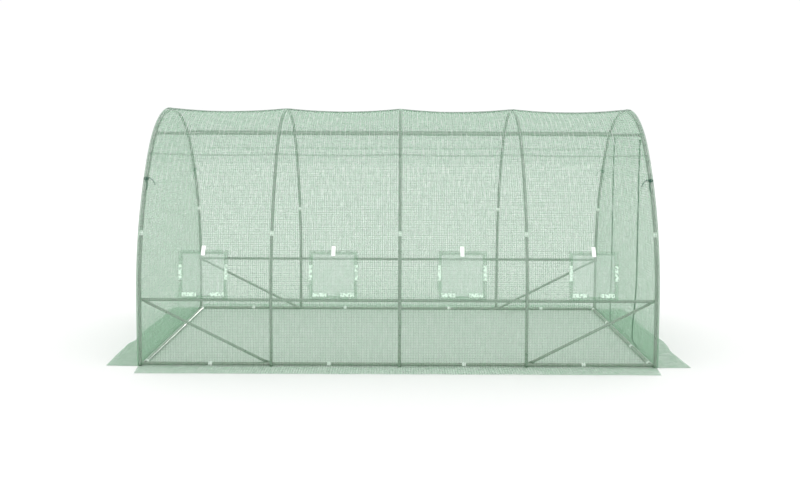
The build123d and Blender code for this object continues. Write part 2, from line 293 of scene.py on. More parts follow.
def filmGridGroup():
    # A grid of flat tapes laminated into clear film, every second one thinner. Open is
    # the share of light that passes straight through, and Rib is 1 on a full tape.
    group, start, finish = nodeGroup(
        "filmGrid",
        {
            "Pitch": 0.02, "Rib Share": 0.2, "Warp": 1.0, "Weft": 0.5, "Second": 0.6,
            "Faded": 0.3, "Film Open": 0.7, "Rib Open": 0.1, "Streaks": 0.1,
        },
        ("Open", "Rib"),
    )
    parts = addNode(group, "SeparateXYZ", {0: start["Vector"]}).outputs
    low = maths(group, "SUBTRACT", 1.0, start["Rib Share"])
    high = maths(group, "ADD", low, 0.08)    # softness of a tape's edges
    ribs, streaks = [], []
    for axis, strength, grainScale in ((0, "Warp", (60, 11, 1)), (1, "Weft", (11, 60, 1))):
        stretched = addNode(
            group, "VectorMath", {0: start["Vector"], 1: grainScale}, operation="MULTIPLY"
        )
        grain = noiseAt(group, stretched.outputs[0], 1.0, 1.0)
        streaks.append(mapRange(group, grain, 0.3, 0.7, -1.0, 1.0))
        cell = maths(group, "DIVIDE", parts[axis], start["Pitch"])
        middle = maths(group, "SUBTRACT", maths(group, "FRACT", cell), 0.5)
        middle = maths(group, "MULTIPLY", maths(group, "ABSOLUTE", middle), 2.0)
        rib = mapRange(group, middle, low, high, kind="SMOOTHSTEP")
        whole = maths(group, "FLOOR", maths(group, "ADD", cell, 0.5))
        odd = maths(group, "MODULO", maths(group, "ABSOLUTE", whole), 2.0)
        share = mixValue(group, odd, 1.0, start["Second"])
        fade = mapRange(group, grain, 0.35, 0.65, start["Faded"], 1.0)
        fade = maths(group, "MULTIPLY", fade, start[strength])
        share = maths(group, "MULTIPLY", share, fade)
        ribs.append(maths(group, "MULTIPLY", rib, share))
    rib = maths(group, "MAXIMUM", *ribs)
    streak = maths(group, "MULTIPLY_ADD", streaks[1], start["Weft"], streaks[0])
    change = maths(group, "MULTIPLY", streak, start["Streaks"])
    openness = mixValue(group, rib, start["Film Open"], start["Rib Open"])
    openness = maths(group, "MULTIPLY", openness, maths(group, "ADD", change, 1.0))
    openness = maths(group, "MINIMUM", maths(group, "MAXIMUM", openness, 0.02), 0.97)
    feed(group, finish, {"Open": openness, "Rib": rib})
    return group


def clothWeaveGroup():
    # Plain weave from UV in metres: Over is 1 where the warp is on top, Height the
    # rounded backs of both yarns, Shade a slow change from yarn to yarn.
    outputs = ("Over", "Height", "Shade")
    group, start, finish = nodeGroup("clothWeave", {"Pitch": 0.001}, outputs)
    parts = addNode(group, "SeparateXYZ", {0: start["Vector"]}).outputs
    cells, backs = [], []
    for axis in (0, 1):
        cell = maths(group, "DIVIDE", parts[axis], start["Pitch"])
        cells.append(maths(group, "FLOOR", cell))
        turn = maths(group, "MULTIPLY", maths(group, "FRACT", cell), math.pi)
        backs.append(maths(group, "SINE", turn))
    whole = maths(group, "ABSOLUTE", maths(group, "ADD", *cells))
    over = maths(group, "GREATER_THAN", maths(group, "MODULO", whole, 2.0), 0.5)
    height = mixValue(group, over, *backs)
    shade = noiseAt(group, start["Vector"], 260.0, 2.0)
    feed(group, finish, {"Over": over, "Height": height, "Shade": shade})
    return group


def dustGroup():
    # Fine dust that gathers near the ground, in patches.
    group, start, finish = nodeGroup("dust", {"Reach": 0.25, "Amount": 0.5}, ("Mask",))
    parts = addNode(group, "SeparateXYZ", {0: start["Vector"]}).outputs
    depth = mapRange(group, parts[2], 0.0, start["Reach"], 1.0, 0.0, "SMOOTHSTEP")
    mask = maths(group, "MULTIPLY", depth, noiseAt(group, start["Vector"], 9.0, 4.0))
    feed(group, finish, {"Mask": maths(group, "MULTIPLY", mask, start["Amount"])})
    return group


filmGrid = filmGridGroup()
clothWeave = clothWeaveGroup()
dust = dustGroup()


def newMaterial(name):
    material = bpy.data.materials.get(name) or bpy.data.materials.new(name)
    material.use_nodes = True
    tree = material.node_tree
    return material, tree, tree.nodes["Principled BSDF"], addNode(tree, "TexCoord").outputs


def paint(tree, shader, colour, glow):
    # Glow is painted light: an emission that stands for the light that soaks through a thin pale
    # surface.
    feed(tree, shader, {"Base Color": colour})
    if glow:
        feed(tree, shader, {"Emission Color": colour, "Emission Strength": glow})


def addBump(tree, shader, height, distance, strength):
    inputs = {"Strength": strength, "Distance": distance, "Height": height}
    feed(tree, shader, {"Normal": addNode(tree, "Bump", inputs).outputs[0]})


def tone(base, share=1.0):
    return tuple(value * share for value in base) + (1,)


filmLook = {
    "pitch": 0.0200,
    "ribShare": 0.25,
    "warp": 1.0,
    "weft": 0.76,
    "second": 0.64,         # every second tape against the others
    "faded": 0.45,          # the faintest stretches of a tape
    "filmOpen": 0.715,
    "ribOpen": 0.02,
    "streaks": 0.08,
    "clear": (0.225, 0.450, 0.280),
    "rib": (0.530, 0.585, 0.545),
    "slant": 0.8,           # the grid's strength follows Y and this share of the height
    "span": (-0.8, 0.5),
    "front": 0.42,          # its strength at the foot of the front, and beyond
    "back": 1.12,
    "glow": 0.10,
    "grazing": 0.37,
    "shade": 1.38,          # how much denser the film is to the light that falls inside
    "roughness": 0.42,
    "specular": 0.25,
    "bump": (0.0004, 0.5),  # distance and strength
}
evenLook = {**filmLook, "front": 1.0, "back": 1.0}
sideSkirtLook = {**evenLook, "filmOpen": 0.74, "ribOpen": 0.30, "shade": 1.0}
endSkirtLook = {**evenLook, "filmOpen": 0.64, "shade": 1.25}
flapLook = {**filmLook, "filmOpen": 0.84, "ribOpen": 0.25, "shade": 1.0}
# The ridge film's dark colour is painted shade: it stands for the darker look of the film seen
# edge on along the ridge.
ridgeShadeColour = (0.145, 0.230, 0.172)


def filmMaterial(name, look, **changes):
    look = {**look, **changes}
    material, tree, shader, place = newMaterial(name)
    where = addNode(tree, "SeparateXYZ", {0: place["Object"]}).outputs
    along = maths(tree, "MULTIPLY_ADD", where[2], look["slant"], where[1])
    strength = mapRange(tree, along, *look["span"], look["front"], look["back"], "SMOOTHSTEP")
    inputs = {
        "Vector": place["UV"], "Pitch": look["pitch"], "Rib Share": look["ribShare"],
        "Warp": maths(tree, "MULTIPLY", strength, look["warp"]),
        "Weft": maths(tree, "MULTIPLY", strength, look["weft"]),
        "Second": look["second"], "Faded": look["faded"], "Film Open": look["filmOpen"],
        "Rib Open": look["ribOpen"], "Streaks": look["streaks"],
    }
    grid = addNode(tree, "Group", inputs, node_tree=filmGrid).outputs
    # The film passes less light the more it is seen from the side.
    slope = addNode(tree, "LayerWeight", {"Blend": 0.5}).outputs["Facing"]
    cosine = maths(tree, "MAXIMUM", maths(tree, "SUBTRACT", 1.0, slope), 0.03)
    longer = maths(tree, "POWER", cosine, -look["grazing"])
    seen = addNode(tree, "LightPath").outputs["Is Camera Ray"]
    density = mapRange(tree, seen, 0.0, 1.0, look["shade"] / 2, 0.5)    # each side takes half
    passed = maths(tree, "POWER", grid["Open"], maths(tree, "MULTIPLY", longer, density))
    alpha = maths(tree, "SUBTRACT", 1.0, passed)
    colour = mixColour(tree, grid["Rib"], tone(look["clear"]), tone(look["rib"]))
    paint(tree, shader, colour, look["glow"])
    feed(tree, shader, {
        "Alpha": alpha, "Roughness": look["roughness"], "Specular IOR Level": look["specular"],
    })
    addBump(tree, shader, grid["Rib"], *look["bump"])
    return material


steelLook = {
    "spangle": 160.0,       # scales of the zinc's flakes and of its clouds
    "cloud": 14.0,
    "dark": 0.84,
    "light": 1.18,
    "soil": (0.36, 0.33, 0.28, 1),
    "soilAmount": 0.5,
    "metallic": 0.85,
    "smoother": 0.06,       # how far the roughness strays down and up
    "rougher": 0.08,
    "bump": (0.0002, 0.4),
}


def steelMaterial(name, base, roughness):
    look = steelLook
    material, tree, shader, place = newMaterial(name)
    inputs = {"Vector": place["Object"], "Scale": look["spangle"]}
    spangle = addNode(tree, "TexVoronoi", inputs)
    flake = addNode(tree, "SeparateColor", {0: spangle.outputs["Color"]}).outputs[0]
    cloud = noiseAt(tree, place["Object"], look["cloud"], 5.0)
    share = maths(tree, "MULTIPLY_ADD", cloud, 0.5, maths(tree, "MULTIPLY", flake, 0.5))
    colour = mixColour(tree, share, tone(base, look["dark"]), tone(base, look["light"]))
    inputs = {"Vector": place["Object"], "Amount": look["soilAmount"]}
    soil = addNode(tree, "Group", inputs, node_tree=dust)
    colour = mixColour(tree, soil.outputs["Mask"], colour, look["soil"])
    low, high = roughness - look["smoother"], roughness + look["rougher"]
    rough = mapRange(tree, cloud, 0.3, 0.7, low, high)
    feed(tree, shader, {"Base Color": colour, "Metallic": look["metallic"], "Roughness": rough})
    addBump(tree, shader, share, *look["bump"])
    return material


plasticLook = {"grain": 420.0, "cloud": 30.0, "dark": 0.93, "stray": 0.05, "bump": (0.0001, 0.3)}


def plasticMaterial(name, base, roughness, glow=0.0):
    look = plasticLook
    material, tree, shader, place = newMaterial(name)
    grain = noiseAt(tree, place["Object"], look["grain"], 3.0)
    cloud = noiseAt(tree, place["Object"], look["cloud"], 2.0)
    paint(tree, shader, mixColour(tree, cloud, tone(base), tone(base, look["dark"])), glow)
    low, high = roughness - look["stray"], roughness + look["stray"]
    feed(tree, shader, {"Roughness": mapRange(tree, grain, 0.3, 0.7, low, high)})
    addBump(tree, shader, grain, *look["bump"])
    return material


clothLook = {"dark": 0.86, "light": 1.08, "roughness": 0.85, "height": 0.2, "bump": 0.6}


def clothMaterial(name, warp, weft, pitch, glow=0.0):
    look = clothLook
    material, tree, shader, place = newMaterial(name)
    inputs = {"Vector": place["UV"], "Pitch": pitch}
    weave = addNode(tree, "Group", inputs, node_tree=clothWeave).outputs
    colour = mixColour(tree, weave["Over"], tone(warp), tone(weft))
    shade = mapRange(tree, weave["Shade"], 0.3, 0.7, look["dark"], look["light"])
    shaded = addNode(tree, "VectorMath", {0: colour, "Scale": shade}, operation="SCALE")
    paint(tree, shader, shaded.outputs[0], glow)
    feed(tree, shader, {"Roughness": look["roughness"]})
    addBump(tree, shader, weave["Height"], pitch * look["height"], look["bump"])
    return material


tapeLook = {
    "tufts": 58.0,
    "hooks": 900.0,
    "flat": (0.58, 0.73, 0.62, 1),
    "tuft": (0.68, 0.84, 0.72, 1),
    "cover": (0.40, 0.80),  # of the flat tape and of a tuft
    # glow: painted light that brightens the pale tape
    "glow": 0.12,
    "roughness": 0.9,
    "bump": (0.0008, 0.8),
}


def tapeMaterial():
    # Short hooks and loops in tufts, so that the tape is a little brighter in patches.
    material, tree, shader, place = newMaterial("closureTape")
    look = tapeLook
    tufts = noiseAt(tree, place["Object"], look["tufts"], 2.0, 0.6)
    hooks = noiseAt(tree, place["Object"], look["hooks"], 1.0)
    bright = mapRange(tree, tufts, 0.36, 0.56, kind="SMOOTHSTEP")
    paint(tree, shader, mixColour(tree, bright, look["flat"], look["tuft"]), look["glow"])
    alpha = mapRange(tree, bright, 0.0, 1.0, *look["cover"])
    feed(tree, shader, {"Alpha": alpha, "Roughness": look["roughness"]})
    addBump(tree, shader, hooks, *look["bump"])
    return material


stringLook = {
    "strands": 700.0,
    "dark": (0.022, 0.075, 0.05, 1),
    "light": (0.065, 0.17, 0.12, 1),
    "roughness": 0.8,
    "bump": (0.0006, 0.7),
}


def finishString():
    tree, shader, place = newMaterial("tieString")[1:]
    look = stringLook
    strands = noiseAt(tree, place["Object"], look["strands"], 2.0)
    colour = mixColour(tree, strands, look["dark"], look["light"])
    feed(tree, shader, {"Base Color": colour, "Roughness": look["roughness"]})
    addBump(tree, shader, strands, *look["bump"])


coverFinish = filmMaterial("coverFilm", filmLook)
endFinish = filmMaterial("endFilm", evenLook)
sideSkirtFinish = filmMaterial("sideSkirtFilm", sideSkirtLook)
# The back skirt's strong glow is painted light that lifts it out of the shade behind the tunnel.
backSkirtGlowFinish = filmMaterial(
    "backSkirtGlowFilm", sideSkirtLook, filmOpen=0.92, ribOpen=0.55, glow=0.25
)
endSkirtFinish = filmMaterial("endSkirtFilm", endSkirtLook)
rightSkirtFinish = filmMaterial("rightSkirtFilm", endSkirtLook, filmOpen=0.73, streaks=0.16)
flapFinish = filmMaterial("flapFilm", flapLook)
flapHemFinish = filmMaterial("flapHemFilm", flapLook, filmOpen=0.93, ribOpen=0.60)
hemFinish = filmMaterial("hemFilm", filmLook, filmOpen=0.80, ribOpen=0.35, glow=0.03)
seamFinish = filmMaterial("seamFilm", filmLook, filmOpen=0.22, glow=0.02)
ridgeShadeFinish = filmMaterial(
    "ridgeShadedFilm", filmLook, filmOpen=0.85, ribOpen=0.60, glow=0.0, grazing=0.95, shade=1.0,
    clear=ridgeShadeColour, rib=ridgeShadeColour,
)
netFinish = filmMaterial(
    "insectNet", filmLook, pitch=0.0016, ribShare=0.20, warp=0.7, weft=1.0, second=1.0,
    faded=0.8, filmOpen=0.58, ribOpen=0.20, streaks=0.05, clear=(0.51, 0.62, 0.545),
    rib=(0.55, 0.66, 0.585), glow=0.15, grazing=0.15, shade=1.0,
)
tubeFinish = steelMaterial("tubeSteel", (0.41, 0.40, 0.395), 0.32)
boltFinish = steelMaterial("boltZinc", (0.52, 0.52, 0.50), 0.30)
sliderFinish = steelMaterial("sliderZinc", (0.30, 0.31, 0.30), 0.30)
# The white plastic's glow is painted light that brightens the sleeves and clips in the shade under
# the film.
glowingPlasticFinish = plasticMaterial("whitePlastic", (0.93, 0.94, 0.93), 0.45, 0.30)
toothFinish = plasticMaterial("zipTeeth", (0.05, 0.11, 0.07), 0.40)
threadFinish = plasticMaterial("sewingThread", (0.30, 0.42, 0.33), 0.6)
tapeFinish = tapeMaterial()
# The webbing's glow is painted light that brightens the white straps.
glowingWebbingFinish = clothMaterial(
    "whiteWebbing", (0.92, 0.94, 0.92), (0.86, 0.89, 0.86), 0.0016, 0.22
)
zipFinish = clothMaterial("zipTape", (0.035, 0.085, 0.055), (0.03, 0.07, 0.045), 0.0009)
finishString()
print("materials done")


def makePiece(name, mesh, finish, slotName, *replaced, wall=0.0, sharp=38):
    # Wall is the thickness of a sheet, shared between both of its sides.
    if mesh.loops.layers.uv.active is None:
        mesh.loops.layers.uv.new("UVMap")
    data = bpy.data.meshes.new(name)
    mesh.to_mesh(data)
    mesh.free()
    data.polygons.foreach_set("use_smooth", [True] * len(data.polygons))
    data.set_sharp_from_angle(angle=math.radians(sharp))
    data.materials.append(finish)
    piece = bpy.data.objects.new(name, data)
    scene.collection.objects.link(piece)
    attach(piece, "root")
    if replaced:
        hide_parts(*replaced)
    if wall:
        sheet = piece.modifiers.new("thickness", "SOLIDIFY")
        sheet.thickness = wall
        sheet.offset = 0
        sheet.use_even_offset = True
    return piece


def joinInto(mesh, other):
    data = bpy.data.meshes.new("joined")
    other.to_mesh(data)
    other.free()
    mesh.from_mesh(data)
    bpy.data.meshes.remove(data)


def cut(mesh, place, normal, clear=False):
    # Cuts a sheet, and takes off what lies past the cut where that is to be clear.
    geometry = mesh.verts[:] + mesh.edges[:] + mesh.faces[:]
    bmesh.ops.bisect_plane(
        mesh, geom=geometry, dist=1e-6, plane_co=place, plane_no=normal, clear_outer=clear
    )


def cutAlong(mesh, axis, places):
    normal = Vector([float(axis == index) for index in range(3)])
    for place in places:
        cut(mesh, normal * place, normal)


def openHole(mesh, lowX, highX, low, high):
    # Takes out the faces of a flat sheet inside a rectangle that is cut already.
    gone = []
    for face in mesh.faces:
        spot = face.calc_center_median()
        if lowX < spot.x < highX and low < spot.y < high:
            gone.append(face)
    bmesh.ops.delete(mesh, geom=gone, context="FACES")


def flatSheet(lowX, highX, lowY, highY, stepX, stepY):
    # A flat rectangle of cloth in the XY plane.
    mesh = bmesh.new()
    bmesh.ops.create_grid(mesh, x_segments=stepX, y_segments=stepY, size=0.5)
    for vertex in mesh.verts:
        vertex.co.x = lowX + (vertex.co.x + 0.5) * (highX - lowX)
        vertex.co.y = lowY + (vertex.co.y + 0.5) * (highY - lowY)
    return mesh


def setFlatUV(mesh):
    # UV in metres, taken while the cloth is flat.
    layer = mesh.loops.layers.uv.active or mesh.loops.layers.uv.new("UVMap")
    for face in mesh.faces:
        for loop in face.loops:
            loop[layer].uv = loop.vert.co.xy


def turnOut(mesh, way=None):
    # Turns the whole sheet so that its faces look one way, or else out of the tunnel.
    mesh.normal_update()
    total = 0
    for face in mesh.faces:
        middle = face.calc_center_median()
        wanted = Vector(way or (0, middle.y, max(0.1, middle.z - 0.5)))
        total += wanted.dot(face.normal) * face.calc_area()
    if total < 0:
        bmesh.ops.reverse_faces(mesh, faces=mesh.faces[:])


def hang(mesh, offset):
    # Lays a flat sheet over the hoops: its X goes along them and its Y round them.
    setFlatUV(mesh)
    for vertex in mesh.verts:
        vertex.co = wrapFilm(vertex.co.x, vertex.co.y, offset)
    turnOut(mesh)


def standUp(mesh, end, placeAt):
    # Stands a flat sheet up at an end: its X goes across the tunnel, and its Y up.
    setFlatUV(mesh)
    for vertex in mesh.verts:
        across, level = vertex.co.x, vertex.co.y
        vertex.co = (placeAt(across, level), across, level)
    turnOut(mesh, (end, 0, 0))


def once(parts):
    # Each part once, in a steady order.
    return list(dict.fromkeys(parts))


def ring(mesh, centre, axis, radius, segments=20):
    place = Matrix.Translation(centre) @ axis.to_track_quat("Z", "X").to_matrix().to_4x4()
    made = bmesh.ops.create_circle(
        mesh, cap_ends=False, segments=segments, radius=radius, matrix=place
    )
    return once(edge for vertex in made["verts"] for edge in vertex.link_edges)


def edgesOf(geometry):
    return [part for part in geometry if isinstance(part, bmesh.types.BMEdge)]


def loopAt(edges):
    return once(vertex for edge in edges for vertex in edge.verts)


def closeEnd(mesh, edges):
    return bmesh.ops.contextual_create(mesh, geom=edges)["faces"][0]


def spinOn(mesh, edges, centre, angle, steps):
    made = bmesh.ops.spin(
        mesh, geom=edges, cent=centre, axis=(1, 0, 0), angle=angle, steps=steps,
        use_duplicate=False,
    )
    return edgesOf(made["geom_last"])


def pushOn(mesh, edges, step):
    # Gives the edges of the new ring alone, not those that join it to the last one.
    before = set(loopAt(edges))
    made = bmesh.ops.extrude_edge_only(mesh, edges=edges)["geom"]
    verts = [part for part in made if isinstance(part, bmesh.types.BMVert)]
    bmesh.ops.translate(mesh, verts=verts, vec=step)
    return [edge for edge in edgesOf(made) if not before.intersection(edge.verts)]


def swell(edges, middle, share):
    for vertex in loopAt(edges):
        vertex.co = middle + (vertex.co - middle) * share


def finishTube(mesh):
    bmesh.ops.remove_doubles(mesh, verts=mesh.verts[:], dist=1e-6)
    bmesh.ops.recalc_face_normals(mesh, faces=mesh.faces[:])
    return mesh


tubeEnds = {"wall": 0.0012, "hollow": 0.014}


def hollowEnd(mesh, edges, inward):
    # Closes a tube with a short hollow, as a cut tube has.
    face = closeEnd(mesh, edges)
    bmesh.ops.inset_region(mesh, faces=[face], thickness=tubeEnds["wall"], use_even_offset=True)
    made = bmesh.ops.extrude_discrete_faces(mesh, faces=[face])
    step = inward * tubeEnds["hollow"]
    bmesh.ops.translate(mesh, verts=made["faces"][0].verts[:], vec=step)


def addLathe(mesh, place, axis, steps, segments=16):
    # Rings along an axis. Each step is a place along it and a radius.
    start, wide = steps[0]
    edges = ring(mesh, place + axis * start, axis, wide, segments)
    closeEnd(mesh, edges)
    for along, radius in steps[1:]:
        edges = pushOn(mesh, edges, axis * (along - start))
        swell(edges, place + axis * along, radius / wide)
        start, wide = along, radius
    closeEnd(mesh, edges)


def addBeads(mesh, beads, size, segments):
    # Small ovals: size is half their length, half their width and half their height.
    # They are made in batches, since every step takes longer on a bigger mesh.
    for first in range(0, len(beads), 25):
        batch = bmesh.new()
        for middle, long, wide in beads[first:first + 25]:
            high = long.cross(wide).normalized()
            axes = (long * size[0], wide * size[1], high * size[2])
            bmesh.ops.create_uvsphere(
                batch, u_segments=segments, v_segments=4, radius=1.0,
                matrix=Matrix.Translation(middle) @ Matrix(axes).transposed().to_4x4(),
            )
        joinInto(mesh, batch)


couplings = {
    "height": 1.030,
    "length": 0.036,
    "radius": 0.0138,
    "gap": 0.0001,          # between tube and sleeve
    "seat": 0.006,          # how far a tube runs into its sleeve
    # places along the sleeve, and how much of its wall stands there
    "rims": ((0.02, 0.9), (0.06, 1.0), (0.10, 1.0), (0.13, 0.72), (0.5, 0.66), (0.87, 0.72),
             (0.90, 1.0), (0.94, 1.0), (0.98, 0.9), (1.0, 0.0)),
}
couplingAngle = archAngle(hoopArch, couplings["height"])
couplingHalf = couplings["length"] / 2 / hoopArch["side"]
seatAngle = couplings["seat"] / hoopArch["side"]


def sideCentre(place, side):
    return Vector((place, side * hoopArch["centre"], tunnel["legHeight"]))


def spinArch(mesh, edges, place, start, steps):
    # From an angle on the front side over the crown to the same angle on the back.
    switch = hoopArch["switch"]
    edges = spinOn(mesh, edges, sideCentre(place, -1), -(switch - start), steps)
    edges = spinOn(mesh, edges, (place, 0, hoopArch["crown"]), -(math.pi - 2 * switch), 34)
    return spinOn(mesh, edges, sideCentre(place, 1), -(switch - start), steps)


def addHoopTop(mesh, place):
    start = couplingAngle + couplingHalf - seatAngle
    across, level = archPoint(hoopArch, start)
    along = Vector((0, math.sin(start), math.cos(start)))
    edges = ring(mesh, Vector((place, -across, level)), along, tubeRadius)
    closeEnd(mesh, edges)
    closeEnd(mesh, spinArch(mesh, edges, place, start, 14))


def addLeg(mesh, place, side):
    edges = ring(mesh, Vector((place, side * halfWidth, 0)), up, tubeRadius)
    hollowEnd(mesh, edges, up)
    edges = pushOn(mesh, edges, up * tunnel["legHeight"])
    turn = couplingAngle - couplingHalf + seatAngle
    closeEnd(mesh, spinOn(mesh, edges, sideCentre(place, side), side * turn, 10))


def addCoupling(mesh, place, side):
    # A moulded sleeve with a rolled rim at each end.
    start = couplingAngle - couplingHalf
    across, level = archPoint(hoopArch, start)
    along = Vector((0, -side * math.sin(start), math.cos(start)))
    wall = couplings["radius"] - tubeRadius - couplings["gap"]
    done, wide = 0.0, tubeRadius + couplings["gap"]
    edges = ring(mesh, Vector((place, side * across, level)), along, wide, 24)
    closeEnd(mesh, edges)
    for share, height in couplings["rims"]:
        turn = (share - done) * 2 * couplingHalf
        edges = spinOn(mesh, edges, sideCentre(place, side), side * turn, 1)
        across, level = archPoint(hoopArch, start + share * 2 * couplingHalf)
        target = tubeRadius + couplings["gap"] + height * wall
        swell(edges, Vector((place, side * across, level)), target / wide)
        done, wide = share, target
    closeEnd(mesh, edges)


def buildHoops():
    for number, place in enumerate(hoopPlaces, 1):
        mesh = bmesh.new()
        addHoopTop(mesh, place)
        name = f"hoop_top_{number}"
        makePiece(name, finishTube(mesh), tubeFinish, "tube_steel", f"hoop_{number}")
    sleeves = bmesh.new()
    for name, side in sides:
        mesh = bmesh.new()
        for place in hoopPlaces:
            addLeg(mesh, place, side)
        makePiece(f"{name}LegTubes", finishTube(mesh), tubeFinish, "tube_steel", f"{name}_legs")
    for place in hoopPlaces:
        for side in (-1, 1):
            addCoupling(sleeves, place, side)
    makePiece("hoopSleeves", finishTube(sleeves), glowingPlasticFinish, "white_plastic", "hoop_couplings")


def buildRails():
    rails = [
        (f"{side}_{level}_rail", 0) for level in ("base", "mid", "upper") for side, _ in sides
    ]
    rails += [(f"{end}_base_rail", 1) for end, _ in ends]
    for name, axis in rails:
        low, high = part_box(name)
        start = (low + high) / 2
        finish = start.copy()
        start[axis], finish[axis] = low[axis], high[axis]
        along = (finish - start).normalized()
        mesh = bmesh.new()
        edges = ring(mesh, start, along, tubeRadius)
        hollowEnd(mesh, edges, along)
        hollowEnd(mesh, pushOn(mesh, edges, finish - start), -along)
        makePiece(f"{name}_tube", finishTube(mesh), tubeFinish, "tube_steel", name)


braces = {
    "radius": 0.011,
    "topInset": 0.002,      # bolts from the hoops' centre lines
    "footInset": 0.014,
    "tabWidth": 0.024,
    "tabThickness": 0.003,
    "flat": 0.024,          # from the bolt to where the flattening starts to open
    "flatten": 0.030,       # length over which the tube goes flat
    "topLevel": 0.515,
    # The round tab: places along it and half widths, both in halves of its width.
    "tab": ((-1, 0.30), (-0.93, 0.55), (-0.75, 0.78), (-0.4, 0.95), (0, 1)),
    # Shares of the flattening, with half width, and thickness and shift in half tabs.
    "opening": ((0, 1, 1, 0), (0.25, 0.99, 1.6, 0.5), (0.5, 0.97, 3.2, 2.0),
                (0.75, 0.94, 5.4, 4.2)),
}


def addBrace(mesh, end, side, across):
    # Drawn along its own axis, X across and Y towards the rail, then put in place.
    top = Vector((end * (halfLength - braces["topInset"]), side * across, braces["topLevel"]))
    nextHoop = hoopPlaces[1] if end < 0 else hoopPlaces[-2]
    foot = Vector((nextHoop + end * braces["footInset"], side * across, tubeRadius))
    along = (foot - top).normalized()
    run = (foot - top).length
    wide, thin = braces["tabWidth"] / 2, braces["tabThickness"] / 2
    lift = thin - braces["radius"]
    flat, flatten = braces["flat"], braces["flatten"]
    # place along the axis, half width, half thickness, shift towards the rail
    half = [(place * wide, share * wide, thin, lift) for place, share in braces["tab"]]
    half += [
        (flat + flatten * place, share * wide, thin * thick, lift + thin * shift)
        for place, share, thick, shift in braces["opening"]
    ]
    half.append((flat + flatten, braces["radius"], braces["radius"], 0.0))
    sections = half + [(run - place, *rest) for place, *rest in reversed(half)]
    verts = bmesh.ops.create_circle(mesh, segments=20, radius=1.0)["verts"]
    edges = once(edge for vertex in verts for edge in vertex.link_edges)
    closeEnd(mesh, edges)
    last = (0.0, 1.0, 1.0, 0.0)
    for section in sections:
        if section is not sections[0]:
            edges = pushOn(mesh, edges, up * (section[0] - last[0]))
        for vertex in loopAt(edges):
            x = vertex.co.x / last[1] * section[1]
            y = (vertex.co.y - last[3]) / last[2] * section[2] + section[3]
            vertex.co = (x, y, section[0])
        last = section
    closeEnd(mesh, edges)
    inward = Vector((0, side, 0))
    turned = Matrix((along.cross(inward), inward, along)).transposed().to_4x4()
    base = Matrix.Translation(top) @ turned
    for vertex in mesh.verts:
        vertex.co = base @ vertex.co


def buildBraces():
    for endName, end, sideName, side in corners:
        node = f"{sideName}_{endName}_brace"
        low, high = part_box(node)
        outside = -low.y if side < 0 else high.y
        mesh = bmesh.new()
        addBrace(mesh, end, side, outside - braces["radius"])
        makePiece(f"{node}_tube", finishTube(mesh), tubeFinish, "tube_steel", node)


bolts = {
    "head": ((-0.0020, 0.0066), (-0.0002, 0.0066), (0.0007, 0.0052), (0.0012, 0.0026)),
    "washer": ((-0.0018, 0.0080), (0.0007, 0.0080), (0.0009, 0.0076)),
    "nut": ((0.0009, 0.0054), (0.0012, 0.0058), (0.0052, 0.0058), (0.0057, 0.0052)),
    "end": ((0.0057, 0.0030), (0.0084, 0.0030), (0.0092, 0.0023)),
}


def addBolt(mesh, headPlace, nutPlace, outward):
    part = bmesh.new()
    addLathe(part, headPlace, outward, bolts["head"])
    for name, segments in (("washer", 16), ("nut", 6), ("end", 12)):
        addLathe(part, nutPlace, -outward, bolts[name], segments)
    joinInto(mesh, finishTube(part))


def buildBolts():
    # One through every crossing of a hoop and a rail, and one through each brace's foot.
    crossing = 2 * tubeRadius + seatGap
    inside = halfWidth - crossing - tubeRadius
    underTab = inside - (braces["tabThickness"] + seatGap)
    last = len(hoopPlaces) - 1
    for sideName, side in sides:
        mesh = bmesh.new()
        low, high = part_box(f"{sideName}_upper_rail")
        angle = archAngle(hoopArch, (low.z + high.z) / 2, -crossing)
        outward = Vector((0, side * math.cos(angle), math.sin(angle)))
        across, level = archPoint(hoopArch, angle)
        flat = Vector((0, side, 0))
        for index, place in enumerate(hoopPlaces):
            end = -1 if index < 2 else 1
            middle = Vector((place, side * across, level))
            head = middle + outward * tubeRadius
            addBolt(mesh, head, middle - outward * (crossing + tubeRadius), outward)
            # A brace's head shares the end hoop's bolt, and its foot has one of its own.
            middle = Vector((place, side * halfWidth, braces["topLevel"]))
            nut = inside
            if index in (0, last):
                middle.x -= end * braces["topInset"]
                nut = underTab
            nut = Vector((middle.x, side * nut, middle.z))
            addBolt(mesh, middle + flat * tubeRadius, nut, flat)
            head = Vector((place, side * (halfWidth + tubeRadius), tubeRadius))
            nut = inside
            if index in (1, last - 1):
                head.x = place + end * braces["footInset"]
                head.y = side * (inside + 2 * tubeRadius)
                nut = underTab
            addBolt(mesh, head, Vector((head.x, side * nut, head.z)), flat)
        makePiece(f"{sideName}Bolts", mesh, boltFinish, "tube_steel", sharp=30)


buildHoops()
buildRails()
buildBraces()
buildBolts()
print("tubes done")

windows = {
    "shifts": (-0.006, 0.0, -0.004, 0.012),  # along X, from even spacing
    "opening": 0.320,
    "flapWidth": 0.380,
    "flapHeight": 0.375,
    "flapBottom": 0.531,
    "hem": 0.012,           # folded border of the flap
    "hemLift": 0.0011,      # over the flap
    "hemWall": 0.0007,
    "hemLine": 0.003,       # from the hem's inner edge to its stitches
    "netSeam": 0.015,
    "netWall": 0.0006,
    # from the hoops' centre lines, as the film's own offset
    "netOffset": 0.0128,
    "flapOffset": 0.0174,
    "tapeOffset": 0.0195,
}
windowPlaces = [
    -halfLength * 0.75 + halfLength * 0.5 * index + shift
    for index, shift in enumerate(windows["shifts"])
]
openingBottom = windows["flapBottom"] + (windows["flapHeight"] - windows["opening"]) / 2
openingTop = openingBottom + windows["opening"]
filmReach = halfLength + film["offset"]
filmGirth = sum(filmSpans(film["offset"])) + (tunnel["legHeight"] - film["foot"])


